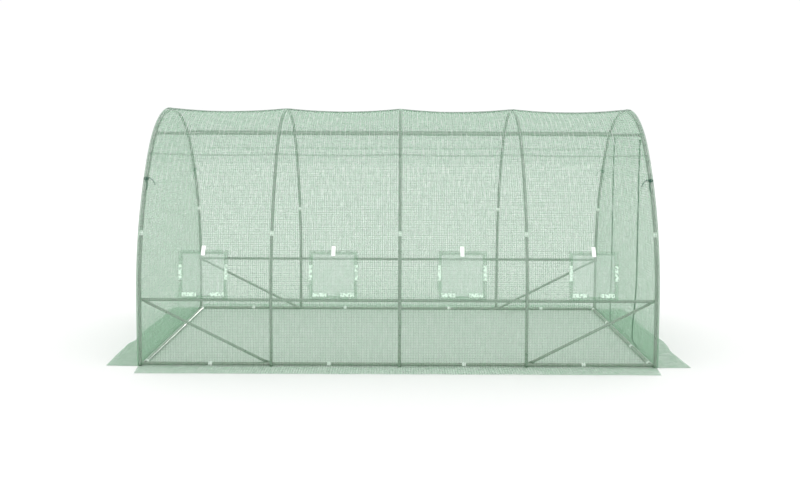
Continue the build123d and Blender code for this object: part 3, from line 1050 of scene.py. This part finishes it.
def buildCover():
    steps = film["stepsPerBay"] * len(bays)
    joins = [-filmReach, *hoopPlaces[1:-1], filmReach]
    mesh = flatSheet(0, len(bays), -filmGirth, filmGirth, steps, film["stepsAround"])
    for vertex in mesh.verts:
        bay = min(len(bays) - 1, int(vertex.co.x + 1e-6))
        share = vertex.co.x - bay
        vertex.co.x = joins[bay] + share * (joins[bay + 1] - joins[bay])
    half = windows["opening"] / 2
    cutAlong(mesh, 0, [middle + shift for middle in windowPlaces for shift in (-half, half)])
    low = -girthAt(openingBottom, film["offset"])
    high = -girthAt(openingTop, film["offset"])
    cutAlong(mesh, 1, [low, high])
    for middle in windowPlaces:
        openHole(mesh, middle - half, middle + half, low, high)
    hang(mesh, film["offset"])
    nodes = [f"cover_bay_{index + 1}" for index in range(4)]
    cover = makePiece(
        "cover", mesh, coverFinish, "cover_film", *nodes, wall=film["thickness"]
    )


endPull = {
    "inset": 0.30,          # it grows to the full pull this far in from the hoop
    "low": (0.02, 0.04),    # and from this level up, over this much height
    "middle": 0.009,        # how far the door's end is drawn in at shoulder height
    "foot": 0.025,          # and near the base rail
    "footLevel": 0.13,
    "footReach": 0.25,
    "corner": -0.45,
    "cornerReach": 0.6,
    "wave": 0.35,
    "left": 0.3,            # share of it at the plain end
}


def insideHoop(across, level):
    # How far inside the film's outline a point of an end wall is.
    offset = film["offset"]
    if level < tunnel["legHeight"]:
        return halfWidth + offset - abs(across)
    spot = Vector((abs(across) - hoopArch["centre"], level - tunnel["legHeight"]))
    if math.atan2(spot.y, spot.x) < hoopArch["switch"]:
        return hoopArch["side"] + offset - spot.length
    spot = Vector((across, level - hoopArch["crown"]))
    return tunnel["crownRadius"] + offset - spot.length


def pullAt(end, across, level):
    start, rise = endPull["low"]
    share = min(1, max(0, insideHoop(across, level)) / endPull["inset"])
    share *= min(1, max(0, level - start) / rise)
    share *= 1 if end > 0 else endPull["left"]
    near = math.exp(-((level - endPull["footLevel"]) / endPull["footReach"]) ** 2)
    near *= math.exp(-((across - endPull["corner"]) / endPull["cornerReach"]) ** 2)
    wave = 1 + endPull["wave"] * noise.noise(Vector((across * 3.0, level * 7.0, 12.0)))
    return share * (endPull["middle"] + endPull["foot"] * near * wave)


def endFilmAt(end, across, level):
    # X of an end wall's film: pulled inwards and slightly rippled.
    spot = Vector((across * 2.3, level * 2.1, 30.0 + end))
    wave = film["ripple"] * 1.4 * noise.noise(spot)
    wave *= min(1, insideHoop(across, level) / 0.12) * min(1, abs(level) / 0.1)
    return end * (filmReach + wave - pullAt(end, across, level))


def endSheet(end, lowAcross, highAcross, bottom, top):
    # Part of an end wall, cut flat to the hoop's outline. X of the flat cloth is
    # across the tunnel and its Y is height.
    stepsX = max(4, int((highAcross - lowAcross) / 0.03))
    stepsY = max(4, int((top - bottom) / 0.025))
    mesh = flatSheet(lowAcross, highAcross, bottom, top, stepsX, stepsY)
    cuts = 40
    for side in (-1, 1):
        for index in range(cuts + 1):
            angle = math.pi / 2 * index / cuts
            across, level = archPoint(hoopArch, angle, film["offset"])
            outward = Vector((side * math.cos(angle), math.sin(angle), 0))
            cut(mesh, Vector((side * across, level, 0)), outward, clear=True)
    standUp(mesh, end, lambda across, level: endFilmAt(end, across, level))
    return mesh


door = {
    "low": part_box("door_panel")[0].y,
    "high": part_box("door_panel")[1].y,
    "head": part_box("door_panel")[1].z,
    "zipWidth": 0.032,
    "overlap": 0.004,       # of the film's edges under each zip
}


def buildEnds():
    foot, head = film["foot"], door["head"]
    top = crownHeight + film["offset"]
    reach = halfWidth + film["offset"]
    under = door["overlap"]
    low, high = door["low"] - under, door["high"] + under
    apart = door["zipWidth"] - 2 * under
    parts = (
        ("leftWall", "left_end_wall", -1, -reach, reach, foot, top),
        ("rightWallFront", "right_wall_front", 1, -reach, low - apart, foot, head),
        ("rightWallBack", "right_wall_back", 1, high + apart, reach, foot, head),
        ("rightGable", "right_gable", 1, -reach, reach, head, top),
        ("doorPanel", "door_panel", 1, low, high, foot, head),
    )
    for name, node, end, low, high, bottom, head in parts:
        mesh = endSheet(end, low, high, bottom, head)
        flatArea = sum(face.calc_area() for face in mesh.faces)
        piece = makePiece(name, mesh, endFinish, "cover_film", node, wall=film["thickness"])


skirts = {
    "side": 0.1841, "end": 0.2761, "sideTaper": 0.024, "endTaper": 0.008,
    "level": 0.0012, "wave": 0.006, "edge": 0.003, "tuck": 0.001,
    # places along the outer edge of an end skirt, and how far it strays outwards there
    "left": ((-1.0, -0.023), (-0.85, -0.015), (-0.71, -0.008), (-0.57, 0.0), (-0.38, 0.009),
             (-0.25, -0.020), (0.1, 0.004), (0.5, -0.008), (1.0, 0.0)),
    "right": ((-1.0, -0.010), (-0.76, -0.016), (-0.57, -0.018), (-0.36, 0.009), (-0.24, 0.020),
              (-0.09, 0.014), (0.3, -0.006), (1.0, 0.0)),
}


def strayAt(name, across):
    # Smooth curve through the places of an end skirt's outer edge.
    spots = skirts[name]
    for (low, first), (high, second) in zip(spots, spots[1:]):
        if across <= high:
            share = min(1, max(0, (across - low) / (high - low)))
            share = share * share * (3 - 2 * share)
            return first + share * (second - first)
    return spots[-1][1]


def groundWave(x, y, away):
    # Height of a skirt that lies on the ground, away metres out from the wall.
    lift = max(0.0, noise.noise(Vector((x * 3.1, y * 3.1, 50.0))) + 0.1)
    fine = max(0.0, noise.noise(Vector((x * 9.0, y * 9.0, 70.0))))
    height = skirts["wave"] * (lift + 0.4 * fine) * min(1, away / 0.05)
    return skirts["level"] + height


def buildSkirt(name, half, depth, taper, finish, spread):
    # Made along X with the wall side at Y 0, then turned into place.
    mesh = flatSheet(-half, half, 0, depth, max(20, int(half * 2 / 0.03)), 12)
    for vertex in mesh.verts:
        vertex.co.x *= (half - taper * (vertex.co.y / depth)) / half
    setFlatUV(mesh)
    for vertex in mesh.verts:
        x, away = vertex.co.x, vertex.co.y
        edge = skirts["edge"] * noise.noise(Vector((x * 5.0, 3.0, half))) * away / depth
        x, y = spread(x, away + edge)
        vertex.co = (x, y, groundWave(x, y, away))
    turnOut(mesh, up)
    piece = makePiece(
        f"{name}Skirt", mesh, finish, "cover_film", f"{name}_skirt", wall=film["thickness"]
    )


def buildSkirts():
    reach = halfWidth + film["offset"] - skirts["tuck"]
    far = halfLength + film["offset"] - skirts["tuck"]
    for (name, side), finish in zip(sides, (sideSkirtFinish, backSkirtGlowFinish)):
        buildSkirt(
            name, far, skirts["side"], skirts["sideTaper"], finish,
            lambda x, away: (x, side * (reach + away)),
        )
    deep = skirts["end"]
    for (name, end), finish in zip(ends, (endSkirtFinish, rightSkirtFinish)):
        buildSkirt(
            name, reach, deep, skirts["endTaper"], finish,
            lambda x, away: (end * (far + away + strayAt(name, x) * away / deep), x),
        )


seams = {
    "levels": {"front": 1.640, "back": 1.653},  # of the seam along each slope
    "width": 0.015,
    "lift": 0.0013,         # of doubled film over the film under it
    "doubled": 0.0008,      # its thickness
    "ridgeBand": 0.13,      # of doubled film on each side of the ridge
    "ridgeDepth": 0.014,    # of the seam allowance that hangs inside the ridge
    "ridgeWall": 0.0012,
    "ridgeGap": 0.002,      # from each hoop
    "ridgeLean": 0.003,
    "cornerLong": 0.0042,   # half sizes of the sewn edge round each end
    "cornerThick": 0.0014,
    "stitch": (0.0024, 0.0005, 0.0005),
    "stitchPitch": 0.0072,
}


def addStitches(mesh, start, finish, offset):
    # A row of stitches along a line of the flat film.
    start, finish = Vector(start), Vector(finish)
    count = max(1, int((finish - start).length / seams["stitchPitch"]))
    beads = []
    for index in range(count):
        spots = [start.lerp(finish, (index + step) / count) for step in (0, 1)]
        first, second = [wrapFilm(spot.x, spot.y, offset) for spot in spots]
        long = (second - first).normalized()
        outward = Vector((0, first.y, first.z - 0.5)).normalized()
        beads.append(((first + second) / 2, long, outward.cross(long).normalized()))
    addBeads(mesh, beads, seams["stitch"], 5)


def doubledFilm(name, low, high, stepsX, stepsY, finish):
    # A band of doubled film along the whole tunnel.
    mesh = flatSheet(-filmReach, filmReach, low, high, stepsX, stepsY)
    hang(mesh, film["offset"] + seams["lift"])
    makePiece(name, mesh, finish, "cover_film", wall=seams["doubled"])


def buildSlopeSeams():
    offset, half = film["offset"] + seams["lift"], seams["width"] / 2
    for name, side in sides:
        level = seams["levels"][name]
        edges = [side * girthAt(level + step, offset) for step in (-half, half)]
        doubledFilm(f"{name}SlopeSeam", min(edges), max(edges), 96, 2, hemFinish)


def buildRidgeSeam():
    # The allowance hangs inside the ridge, between the hoops.
    mesh = bmesh.new()
    gap, deep = tubeRadius + seams["ridgeGap"], seams["ridgeDepth"]
    for low, high in bays:
        part = flatSheet(low + gap, high - gap, 0, deep, 26, 3)
        setFlatUV(part)
        for vertex in part.verts:
            x, down = vertex.co.x, vertex.co.y
            top = crownHeight + film["offset"] - film["sag"] * sagAt(x) - seams["ridgeWall"]
            lean = seams["ridgeLean"] * noise.noise(Vector((x * 4.0, 1.0, 6.0))) * down / deep
            vertex.co = (x, lean, top - down * min(1, sagAt(x) * 3 + 0.3))
        joinInto(mesh, part)
    makePiece("ridgeSeam", mesh, seamFinish, "cover_film", wall=seams["ridgeWall"])


def buildCornerSeams():
    # The edge where cover and end wall are sewn together, turned outwards.
    offset = film["offset"] + seams["cornerLong"] * 0.75
    for name, end in ends:
        place = end * (halfLength + offset)
        mesh = bmesh.new()
        foot = Vector((place, -halfWidth - offset, film["foot"] + 0.002))
        edges = ring(mesh, foot, up, 1.0, 10)
        out = Vector((end, -1, 0)).normalized()
        for vertex in loopAt(edges):
            away = vertex.co - foot
            long = out * away.dot(out)
            vertex.co = foot + long * seams["cornerLong"] + (away - long) * seams["cornerThick"]
        closeEnd(mesh, edges)
        rise = tunnel["legHeight"] - foot.z
        edges = spinArch(mesh, pushOn(mesh, edges, up * rise), place, 0, 22)
        closeEnd(mesh, pushOn(mesh, edges, -up * rise))
        makePiece(f"{name}CornerSeam", finishTube(mesh), seamFinish, "cover_film")


buildCover()
buildEnds()
buildSkirts()
buildSlopeSeams()
buildRidgeSeam()
# The doubled band along the ridge carries the ridge film's painted shade.
doubledFilm("ridgeBand", -seams["ridgeBand"], seams["ridgeBand"], 88, 14, ridgeShadeFinish)
buildCornerSeams()
print("cover done")

windowTapes = {
    "sideWidth": 0.025, "sideHeight": 0.118, "sideRise": 0.148, "sideInset": 0.001,
    "lowWidth": 0.110, "lowHeight": 0.032, "lowRise": 0.019, "lowGap": 0.105,
    "thickness": 0.0018,
    "step": 0.008,
}
windowStraps = {
    "width": 0.030, "length": 0.080, "lean": 0.040, "rise": 0.032, "thickness": 0.0018,
    "offset": 0.0165,       # from the hoops' centre lines, as the film's own offset
    "gap": 0.0013,
    "curl": 0.0012,
    # rows of stitches down from its head and up from its foot, and their half sizes
    "rows": (0.004, 0.020), "footRow": 0.012, "inset": 0.004,
    "stitch": (0.0013, 0.0004, 0.0004), "stitchLift": 0.0006,
}


def wallPatch(lowX, highX, bottom, top, offset, step=0.02, hem=0):
    # A patch of cloth parallel to the film on the front wall, or only its border.
    low, high = -girthAt(bottom, offset), -girthAt(top, offset)
    stepsX, stepsY = [max(2, int(size / step)) for size in (highX - lowX, high - low)]
    mesh = flatSheet(lowX, highX, low, high, stepsX, stepsY)
    if hem:
        inner = (lowX + hem, highX - hem, low + hem, high - hem)
        cutAlong(mesh, 0, inner[:2])
        cutAlong(mesh, 1, inner[2:])
        openHole(mesh, *inner)
    hang(mesh, offset)
    return mesh


def buildFlapHem(number, lowX, highX, bottom, top):
    # A folded border all round the flap, held by a row of stitches.
    hem = windows["hem"]
    offset = windows["flapOffset"] + windows["hemLift"]
    mesh = wallPatch(lowX, highX, bottom, top, offset, hem=hem)
    name = f"windowFlapHem_{number}"
    makePiece(name, mesh, flapHemFinish, "cover_film", wall=windows["hemWall"])
    stitches = bmesh.new()
    line = hem - windows["hemLine"]
    low, high = -girthAt(bottom, offset) + line, -girthAt(top, offset) - line
    lowX, highX = lowX + line, highX - line
    marks = [(lowX, low), (highX, low), (highX, high), (lowX, high)]
    for start, finish in zip(marks, marks[1:] + marks[:1]):
        addStitches(stitches, start, finish, offset + windows["hemWall"])
    makePiece(f"windowFlapStitches_{number}", stitches, threadFinish, "cover_film")


def buildTapes(number, middle, half, bottom):
    tape = windowTapes
    places = {
        "side": half - tape["sideWidth"] / 2 - tape["sideInset"],
        "low": (tape["lowGap"] + tape["lowWidth"]) / 2,
    }
    mesh = bmesh.new()
    for side in (-1, 1):
        for kind, away in places.items():
            wide = tape[kind + "Width"]
            low = middle + side * away - wide / 2
            level = bottom + tape[kind + "Rise"]
            top = level + tape[kind + "Height"]
            offset = windows["tapeOffset"]
            joinInto(mesh, wallPatch(low, low + wide, level, top, offset, tape["step"]))
    makePiece(
        f"windowTapes_{number}", mesh, tapeFinish, "closure_tape", "window_strips",
        wall=tape["thickness"],
    )


def buildStrap(number, middle, flapTop):
    # A webbing strap that hangs from the wall and stands off it at the bottom.
    strap = windowStraps
    head = flapTop + strap["rise"]
    arch = archOf(crownHeight - film["sag"])
    across = archPoint(arch, archAngle(arch, head, strap["offset"]), strap["offset"])[0]
    wall = -across - strap["gap"]
    slope = math.asin(strap["lean"] / strap["length"])
    mesh = flatSheet(-strap["width"] / 2, strap["width"] / 2, 0, strap["length"], 8, 16)
    setFlatUV(mesh)
    for vertex in mesh.verts:
        x, down = vertex.co.x, vertex.co.y
        share = down / strap["length"]
        out = strap["lean"] * share ** 1.15
        curl = strap["curl"] * math.cos(math.pi * x / strap["width"]) * share
        vertex.co = (middle + x, wall - out - curl, head - down * math.cos(slope))
    turnOut(mesh, (0, -1, 0.2))
    makePiece(
        f"windowStrap_{number}", mesh, glowingWebbingFinish, "white_webbing", "window_straps",
        wall=strap["thickness"],
    )
    # A square of stitches holds its head, and its foot is folded and stitched.
    down, wide = Vector((0, -math.sin(slope), -math.cos(slope))), Vector((1, 0, 0))
    front = Vector((middle, wall - strap["thickness"] / 2 - strap["stitchLift"], head))
    reach = strap["width"] / 2 - strap["inset"]
    first, second = strap["rows"]
    beads = []
    for level in (first, second, strap["length"] - strap["footRow"]):
        for index in range(8):
            spot = front + down * level + wide * (index / 7 * 2 - 1) * reach * 0.92
            beads.append((spot, wide, down))
    for side in (-1, 1):
        for index in range(5):
            level = first + (second - first) * (index + 0.5) / 5
            beads.append((front + down * level + wide * side * reach, down, wide))
    stitches = bmesh.new()
    addBeads(stitches, beads, strap["stitch"], 5)
    makePiece(f"windowStrapStitches_{number}", stitches, glowingWebbingFinish, "white_webbing")


def buildWindows():
    net = windows["opening"] / 2 + windows["netSeam"]
    half = windows["flapWidth"] / 2
    bottom, seam = windows["flapBottom"], windows["netSeam"]
    top = bottom + windows["flapHeight"]
    for number, middle in enumerate(windowPlaces, 1):
        mesh = wallPatch(
            middle - net, middle + net, openingBottom - seam, openingTop + seam,
            windows["netOffset"],
        )
        piece = makePiece(
            f"windowNet_{number}", mesh, netFinish, "insect_net", "window_nets",
            wall=windows["netWall"],
        )
        mesh = wallPatch(middle - half, middle + half, bottom, top, windows["flapOffset"])
        piece = makePiece(
            f"windowFlap_{number}", mesh, flapFinish, "cover_film", "window_flaps",
            wall=film["thickness"],
        )
        buildFlapHem(number, middle - half, middle + half, bottom, top)
        buildTapes(number, middle, half, bottom)
        buildStrap(number, middle, top)


buildWindows()
print("windows done")

zips = {
    "tape": 0.0018, "seam": 0.005, "ends": 0.006,
    "coilPitch": 0.0034, "coilBead": (0.0021, 0.0013, 0.0011), "coilStagger": 0.0009,
    "toothLift": 0.0006, "threadLift": 0.0003,  # off the tape
    "step": 0.025,
}
sliders = {
    "level": 0.120,
    "lift": 0.0004,
    # half width, half height, and how far its back and front stand off the wall
    "body": (0.0055, 0.007, 0.0, 0.0020),
    "bridge": (0.0013, 0.004, 0.0020, 0.0046),
    "bevels": {"body": 0.0007, "bridge": 0.0005},
    # the pull tab: below the slider's middle, half width, ends, straight part, rim
    "tabLevel": 0.006, "tabPlace": 0.0040, "tabWide": 0.0042, "tabTop": 0.006,
    "tabFoot": 0.011, "tabDrop": 0.008, "tabRim": 0.0014, "tabThick": 0.0012,
}


def zipAt(across, level, lift):
    # X of the outside of a zip's tape.
    return endFilmAt(1, across, level) + zips["tape"] / 2 + lift


def addBlock(mesh, low, high, bevel):
    part = bmesh.new()
    size = [b - a for a, b in zip(low, high)]
    middle = [(a + b) / 2 for a, b in zip(low, high)]
    place = Matrix.Translation(middle) @ Matrix.Diagonal((*size, 1))
    bmesh.ops.create_cube(part, size=1.0, matrix=place)
    bmesh.ops.bevel(
        part, geom=part.edges[:], offset=bevel, offset_type="OFFSET", segments=2,
        profile=0.5, affect="EDGES", material=-1,
    )
    joinInto(mesh, part)


def addSlider(mesh, across):
    # Body over the coil, a bridge and a pull tab that hangs from it.
    level = sliders["level"]
    place = zipAt(across, level, sliders["lift"])
    for name, bevel in sliders["bevels"].items():
        wide, tall, back, front = sliders[name]
        low = (place + back, across - wide, level - tall)
        addBlock(mesh, low, (place + front, across + wide, level + tall), bevel)
    tab = bmesh.new()
    bmesh.ops.create_circle(tab, cap_ends=True, segments=24, radius=1.0)
    for vertex in tab.verts:
        x, y = vertex.co.x, vertex.co.y
        height = level - sliders["tabLevel"] + y * sliders["tabFoot" if y < 0 else "tabTop"]
        height -= sliders["tabDrop"] if y < 0 else 0
        vertex.co = (place + sliders["tabPlace"], across + x * sliders["tabWide"], height)
    face = tab.faces[:][0]
    bmesh.ops.inset_region(tab, faces=[face], thickness=sliders["tabRim"])
    bmesh.ops.delete(tab, geom=[face], context="FACES_ONLY")
    bmesh.ops.solidify(tab, geom=tab.faces[:], thickness=sliders["tabThick"])
    joinInto(mesh, tab)


def buildZips():
    # Two halves of woven tape with a coil of teeth between them, which follow the wall.
    low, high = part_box("door_zips")
    half = door["zipWidth"] / 2
    sideways = Vector((0, 1, 0))
    tapes, coils, threads, pulls = bmesh.new(), bmesh.new(), bmesh.new(), bmesh.new()
    steps = int((high.z - low.z) / zips["step"])
    for across in (low.y + half, high.y - half):
        part = flatSheet(across - half, across + half, low.z, high.z, 6, steps)
        standUp(part, 1, lambda across, level: endFilmAt(1, across, level))
        joinInto(tapes, part)
        teeth, thread = [], []
        level, turn = low.z + zips["ends"], 1
        while level < high.z - zips["ends"]:
            place = zipAt(across, level, zips["toothLift"])
            spot = Vector((place, across + turn * zips["coilStagger"], level))
            teeth.append((spot, sideways, up))
            level += zips["coilPitch"] / 2
            turn = -turn
        level = low.z + zips["ends"]
        while level < high.z - zips["ends"]:
            for edge in (-half + zips["seam"], half - zips["seam"]):
                place = zipAt(across + edge, level, zips["threadLift"])
                thread.append((Vector((place, across + edge, level)), up, sideways))
            level += seams["stitchPitch"]
        addBeads(coils, teeth, zips["coilBead"], 6)
        addBeads(threads, thread, seams["stitch"], 4)
        addSlider(pulls, across)
    makePiece("zipTapes", tapes, zipFinish, "zip_tape", "door_zips", wall=zips["tape"])
    makePiece("zipCoils", coils, toothFinish, "zip_tape", "door_zips")
    makePiece("zipStitches", threads, threadFinish, "cover_film")
    makePiece("zipSliders", pulls, sliderFinish, "zip_tape", sharp=30)


rollStraps = {"width": 0.012, "flare": 0.004, "thickness": 0.0014}


def buildRollStraps():
    low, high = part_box("door_roll_straps")
    half = rollStraps["width"] / 2

    def strapAt(across, level):
        out = rollStraps["flare"] * ((high.z - level) / (high.z - low.z)) ** 2
        return (low.x + high.x) / 2 - pullAt(1, across, level) + out

    mesh = bmesh.new()
    for across in (low.y + half, high.y - half):
        part = flatSheet(across - half, across + half, low.z, high.z, 4, 14)
        standUp(part, 1, strapAt)
        joinInto(mesh, part)
    makePiece(
        "doorRollStraps", mesh, zipFinish, "zip_tape", "door_roll_straps",
        wall=rollStraps["thickness"],
    )


clips = {
    "length": 0.030,
    "wall": 0.0025,
    "mouth": 0.008,
    "shares": (0.53, 0.45, 0.51, 0.45),  # of the way along each bay
    "cornerInset": 0.070,
}


def addClip(mesh, place, along):
    # A C over the rail: a strip of wall spun from one lip over the top to the other.
    middle = tubeRadius + seatGap + clips["wall"] / 2
    lip = math.asin(clips["mouth"] / middle)
    turned = Matrix((along, up.cross(along), up)).transposed().to_4x4()
    start = Matrix.Translation(place) @ turned @ Matrix.Rotation(-lip, 4, "X")
    flat = start @ Matrix.Translation((0, middle, 0)) @ Matrix.Diagonal(
        (clips["length"], clips["wall"], 1, 1)
    )
    made = bmesh.ops.create_grid(mesh, x_segments=1, y_segments=1, size=0.5, matrix=flat)
    verts = made["verts"]
    edges = once(edge for vertex in verts for edge in vertex.link_edges)
    geometry = verts + edges + once(face for vertex in verts for face in vertex.link_faces)
    bmesh.ops.spin(
        mesh, geom=geometry, cent=place, axis=along, angle=math.pi + 2 * lip, steps=22,
        use_duplicate=False,
    )


def buildClips():
    mesh = bmesh.new()
    low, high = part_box("front_base_rail")
    across = -(low.y + high.y) / 2
    for (start, finish), share in zip(bays, clips["shares"]):
        place = start + share * (finish - start)
        for side in (-1, 1):
            addClip(mesh, Vector((place, side * across, tubeRadius)), Vector((1, 0, 0)))
    corner = halfWidth - clips["cornerInset"]
    rail = sum(box.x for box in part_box("right_base_rail")) / 2
    low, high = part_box("door_zips")
    zipPlaces = (low.y + door["zipWidth"] / 2, high.y - door["zipWidth"] / 2)
    for end, spots in ((1, (*zipPlaces, -corner, corner)), (-1, (-corner, corner))):
        for spot in spots:
            addClip(mesh, Vector((end * rail, spot, tubeRadius)), Vector((0, 1, 0)))
    makePiece("railClips", finishTube(mesh), glowingPlasticFinish, "white_plastic", "base_rail_clips")


ties = {
    "height": 1.440,
    "radius": 0.0025,
    "loop": 0.02043,        # radius, round the hoop and the corner of the film
    "middle": 0.00363,      # of the loop, out of the end wall and out of the side
    "bows": ((0.0105, 0.0062, 0.9), (0.0090, 0.0058, 2.1)),  # half length, half width, droop
    "knots": ((0.5, 0.0042), (-0.6, 0.0040), (1.5, 0.0036)),  # tilt and radius of each turn
    "bowOut": 0.003,
    "knotAlong": -0.00336,
    "knotOut": {"front": 0.02583, "back": -0.01857},
}


def addRing(mesh, centre, axis, away, reach, radius, steps, segments=10):
    # A closed ring of string round a centre.
    edges = ring(mesh, centre + away * reach, axis.cross(away), radius, segments)
    bmesh.ops.spin(
        mesh, geom=edges, cent=centre, axis=axis, angle=2 * math.pi, steps=steps,
        use_duplicate=False, use_merge=True,
    )


def buildTieLoops():
    angle = archAngle(hoopArch, ties["height"])
    across, level = archPoint(hoopArch, angle)
    radius = ties["radius"]
    mesh = bmesh.new()
    for endName, end, sideName, side in corners:
        outward = Vector((0, side * math.cos(angle), math.sin(angle)))
        lengthways = Vector((end, 0, 0))
        along = lengthways.cross(outward)
        origin = Vector((end * halfLength, side * across, level))
        diagonal = (lengthways + outward).normalized()
        centre = origin + (lengthways + outward) * ties["middle"]
        addRing(mesh, centre, along, diagonal, ties["loop"], radius, 40)
        knot = origin + lengthways * ties["knotAlong"] + outward * ties["knotOut"][sideName]
        for tilt, size in ties["knots"]:
            axis = (along * math.cos(tilt) + lengthways * math.sin(tilt)).normalized()
            addRing(mesh, knot, axis, axis.orthogonal().normalized(), size, radius, 20)
        for reach, tall, turn in ties["bows"]:
            # One loop of the bow: a ring drawn out into an oval that hangs from the knot.
            bow = bmesh.new()
            addRing(bow, Vector((0, 0, 0)), up, Vector((1, 0, 0)), 1, radius / tall, 28, 8)
            face = Vector((0, -1, 0))
            hangs = (lengthways * math.cos(turn) - up * math.sin(turn)).normalized()
            wide = face.cross(hangs).normalized()
            place = Matrix.Translation(knot + face * ties["bowOut"] + hangs * reach)
            turned = Matrix((hangs * reach, wide * tall, face * tall)).transposed().to_4x4()
            bmesh.ops.transform(bow, matrix=place @ turned, verts=bow.verts[:])
            joinInto(mesh, bow)
    makePiece("tieLoops", finishTube(mesh), stringFinish, "tie_string", "tie_loops")


buildZips()
buildRollStraps()
buildClips()
buildTieLoops()
print("fittings done")

studio = {
    "light": 1.3,
    "sky": 1.02,            # as the camera sees it
    "floor": (0.875, 0.87, 0.87),
    "floorSize": 60,
    "floorLevel": -0.0005,
}
gleam = {"power": 95, "size": (1.0, 0.5), "place": (-0.8, 4.8, 0.7), "aim": (-1.97, 0, 0.02)}


def buildStudio():
    mesh = bmesh.new()
    bmesh.ops.create_grid(mesh, x_segments=1, y_segments=1, size=studio["floorSize"] / 2)
    bmesh.ops.translate(mesh, verts=mesh.verts[:], vec=up * studio["floorLevel"])
    data = bpy.data.meshes.new("studioFloor")
    mesh.to_mesh(data)
    mesh.free()
    material, tree, shader, _ = newMaterial("studioFloor")
    colour = tone(studio["floor"])
    feed(tree, shader, {"Base Color": colour, "Roughness": 0.9, "Specular IOR Level": 0.0})
    data.materials.append(material)
    floor = bpy.data.objects.new("studioFloor", data)
    scene.collection.objects.link(floor)
    scene.world = bpy.data.worlds.new("studio")
    scene.world.use_nodes = True
    tree = scene.world.node_tree
    seen = addNode(tree, "LightPath").outputs["Is Camera Ray"]
    strength = mapRange(tree, seen, 0.0, 1.0, studio["light"], studio["sky"])
    feed(tree, tree.nodes["Background"], {"Color": (1, 1, 1, 1), "Strength": strength})


def addGleam():
    # A soft box behind the tunnel that only shows as a gleam on the left base rail.
    light = bpy.data.lights.new("gleam", "AREA")
    light.shape = "RECTANGLE"
    light.size, light.size_y = gleam["size"]
    light.energy = gleam["power"]
    lamp = bpy.data.objects.new("gleam", light)
    place = Vector(gleam["place"])
    turned = (Vector(gleam["aim"]) - place).to_track_quat("-Z", "Y").to_matrix().to_4x4()
    lamp.matrix_world = Matrix.Translation(place) @ turned
    lamp.visible_camera = False
    lamp.visible_diffuse = False
    lit = bpy.data.collections.new("gleam")
    lit.objects.link(bpy.data.objects["left_base_rail_tube"])
    lamp.light_linking.receiver_collection = lit
    scene.collection.objects.link(lamp)


buildStudio()
addGleam()
scene.view_settings.view_transform = "Standard"
scene.cycles.transparent_max_bounces = 32
print("studio done")
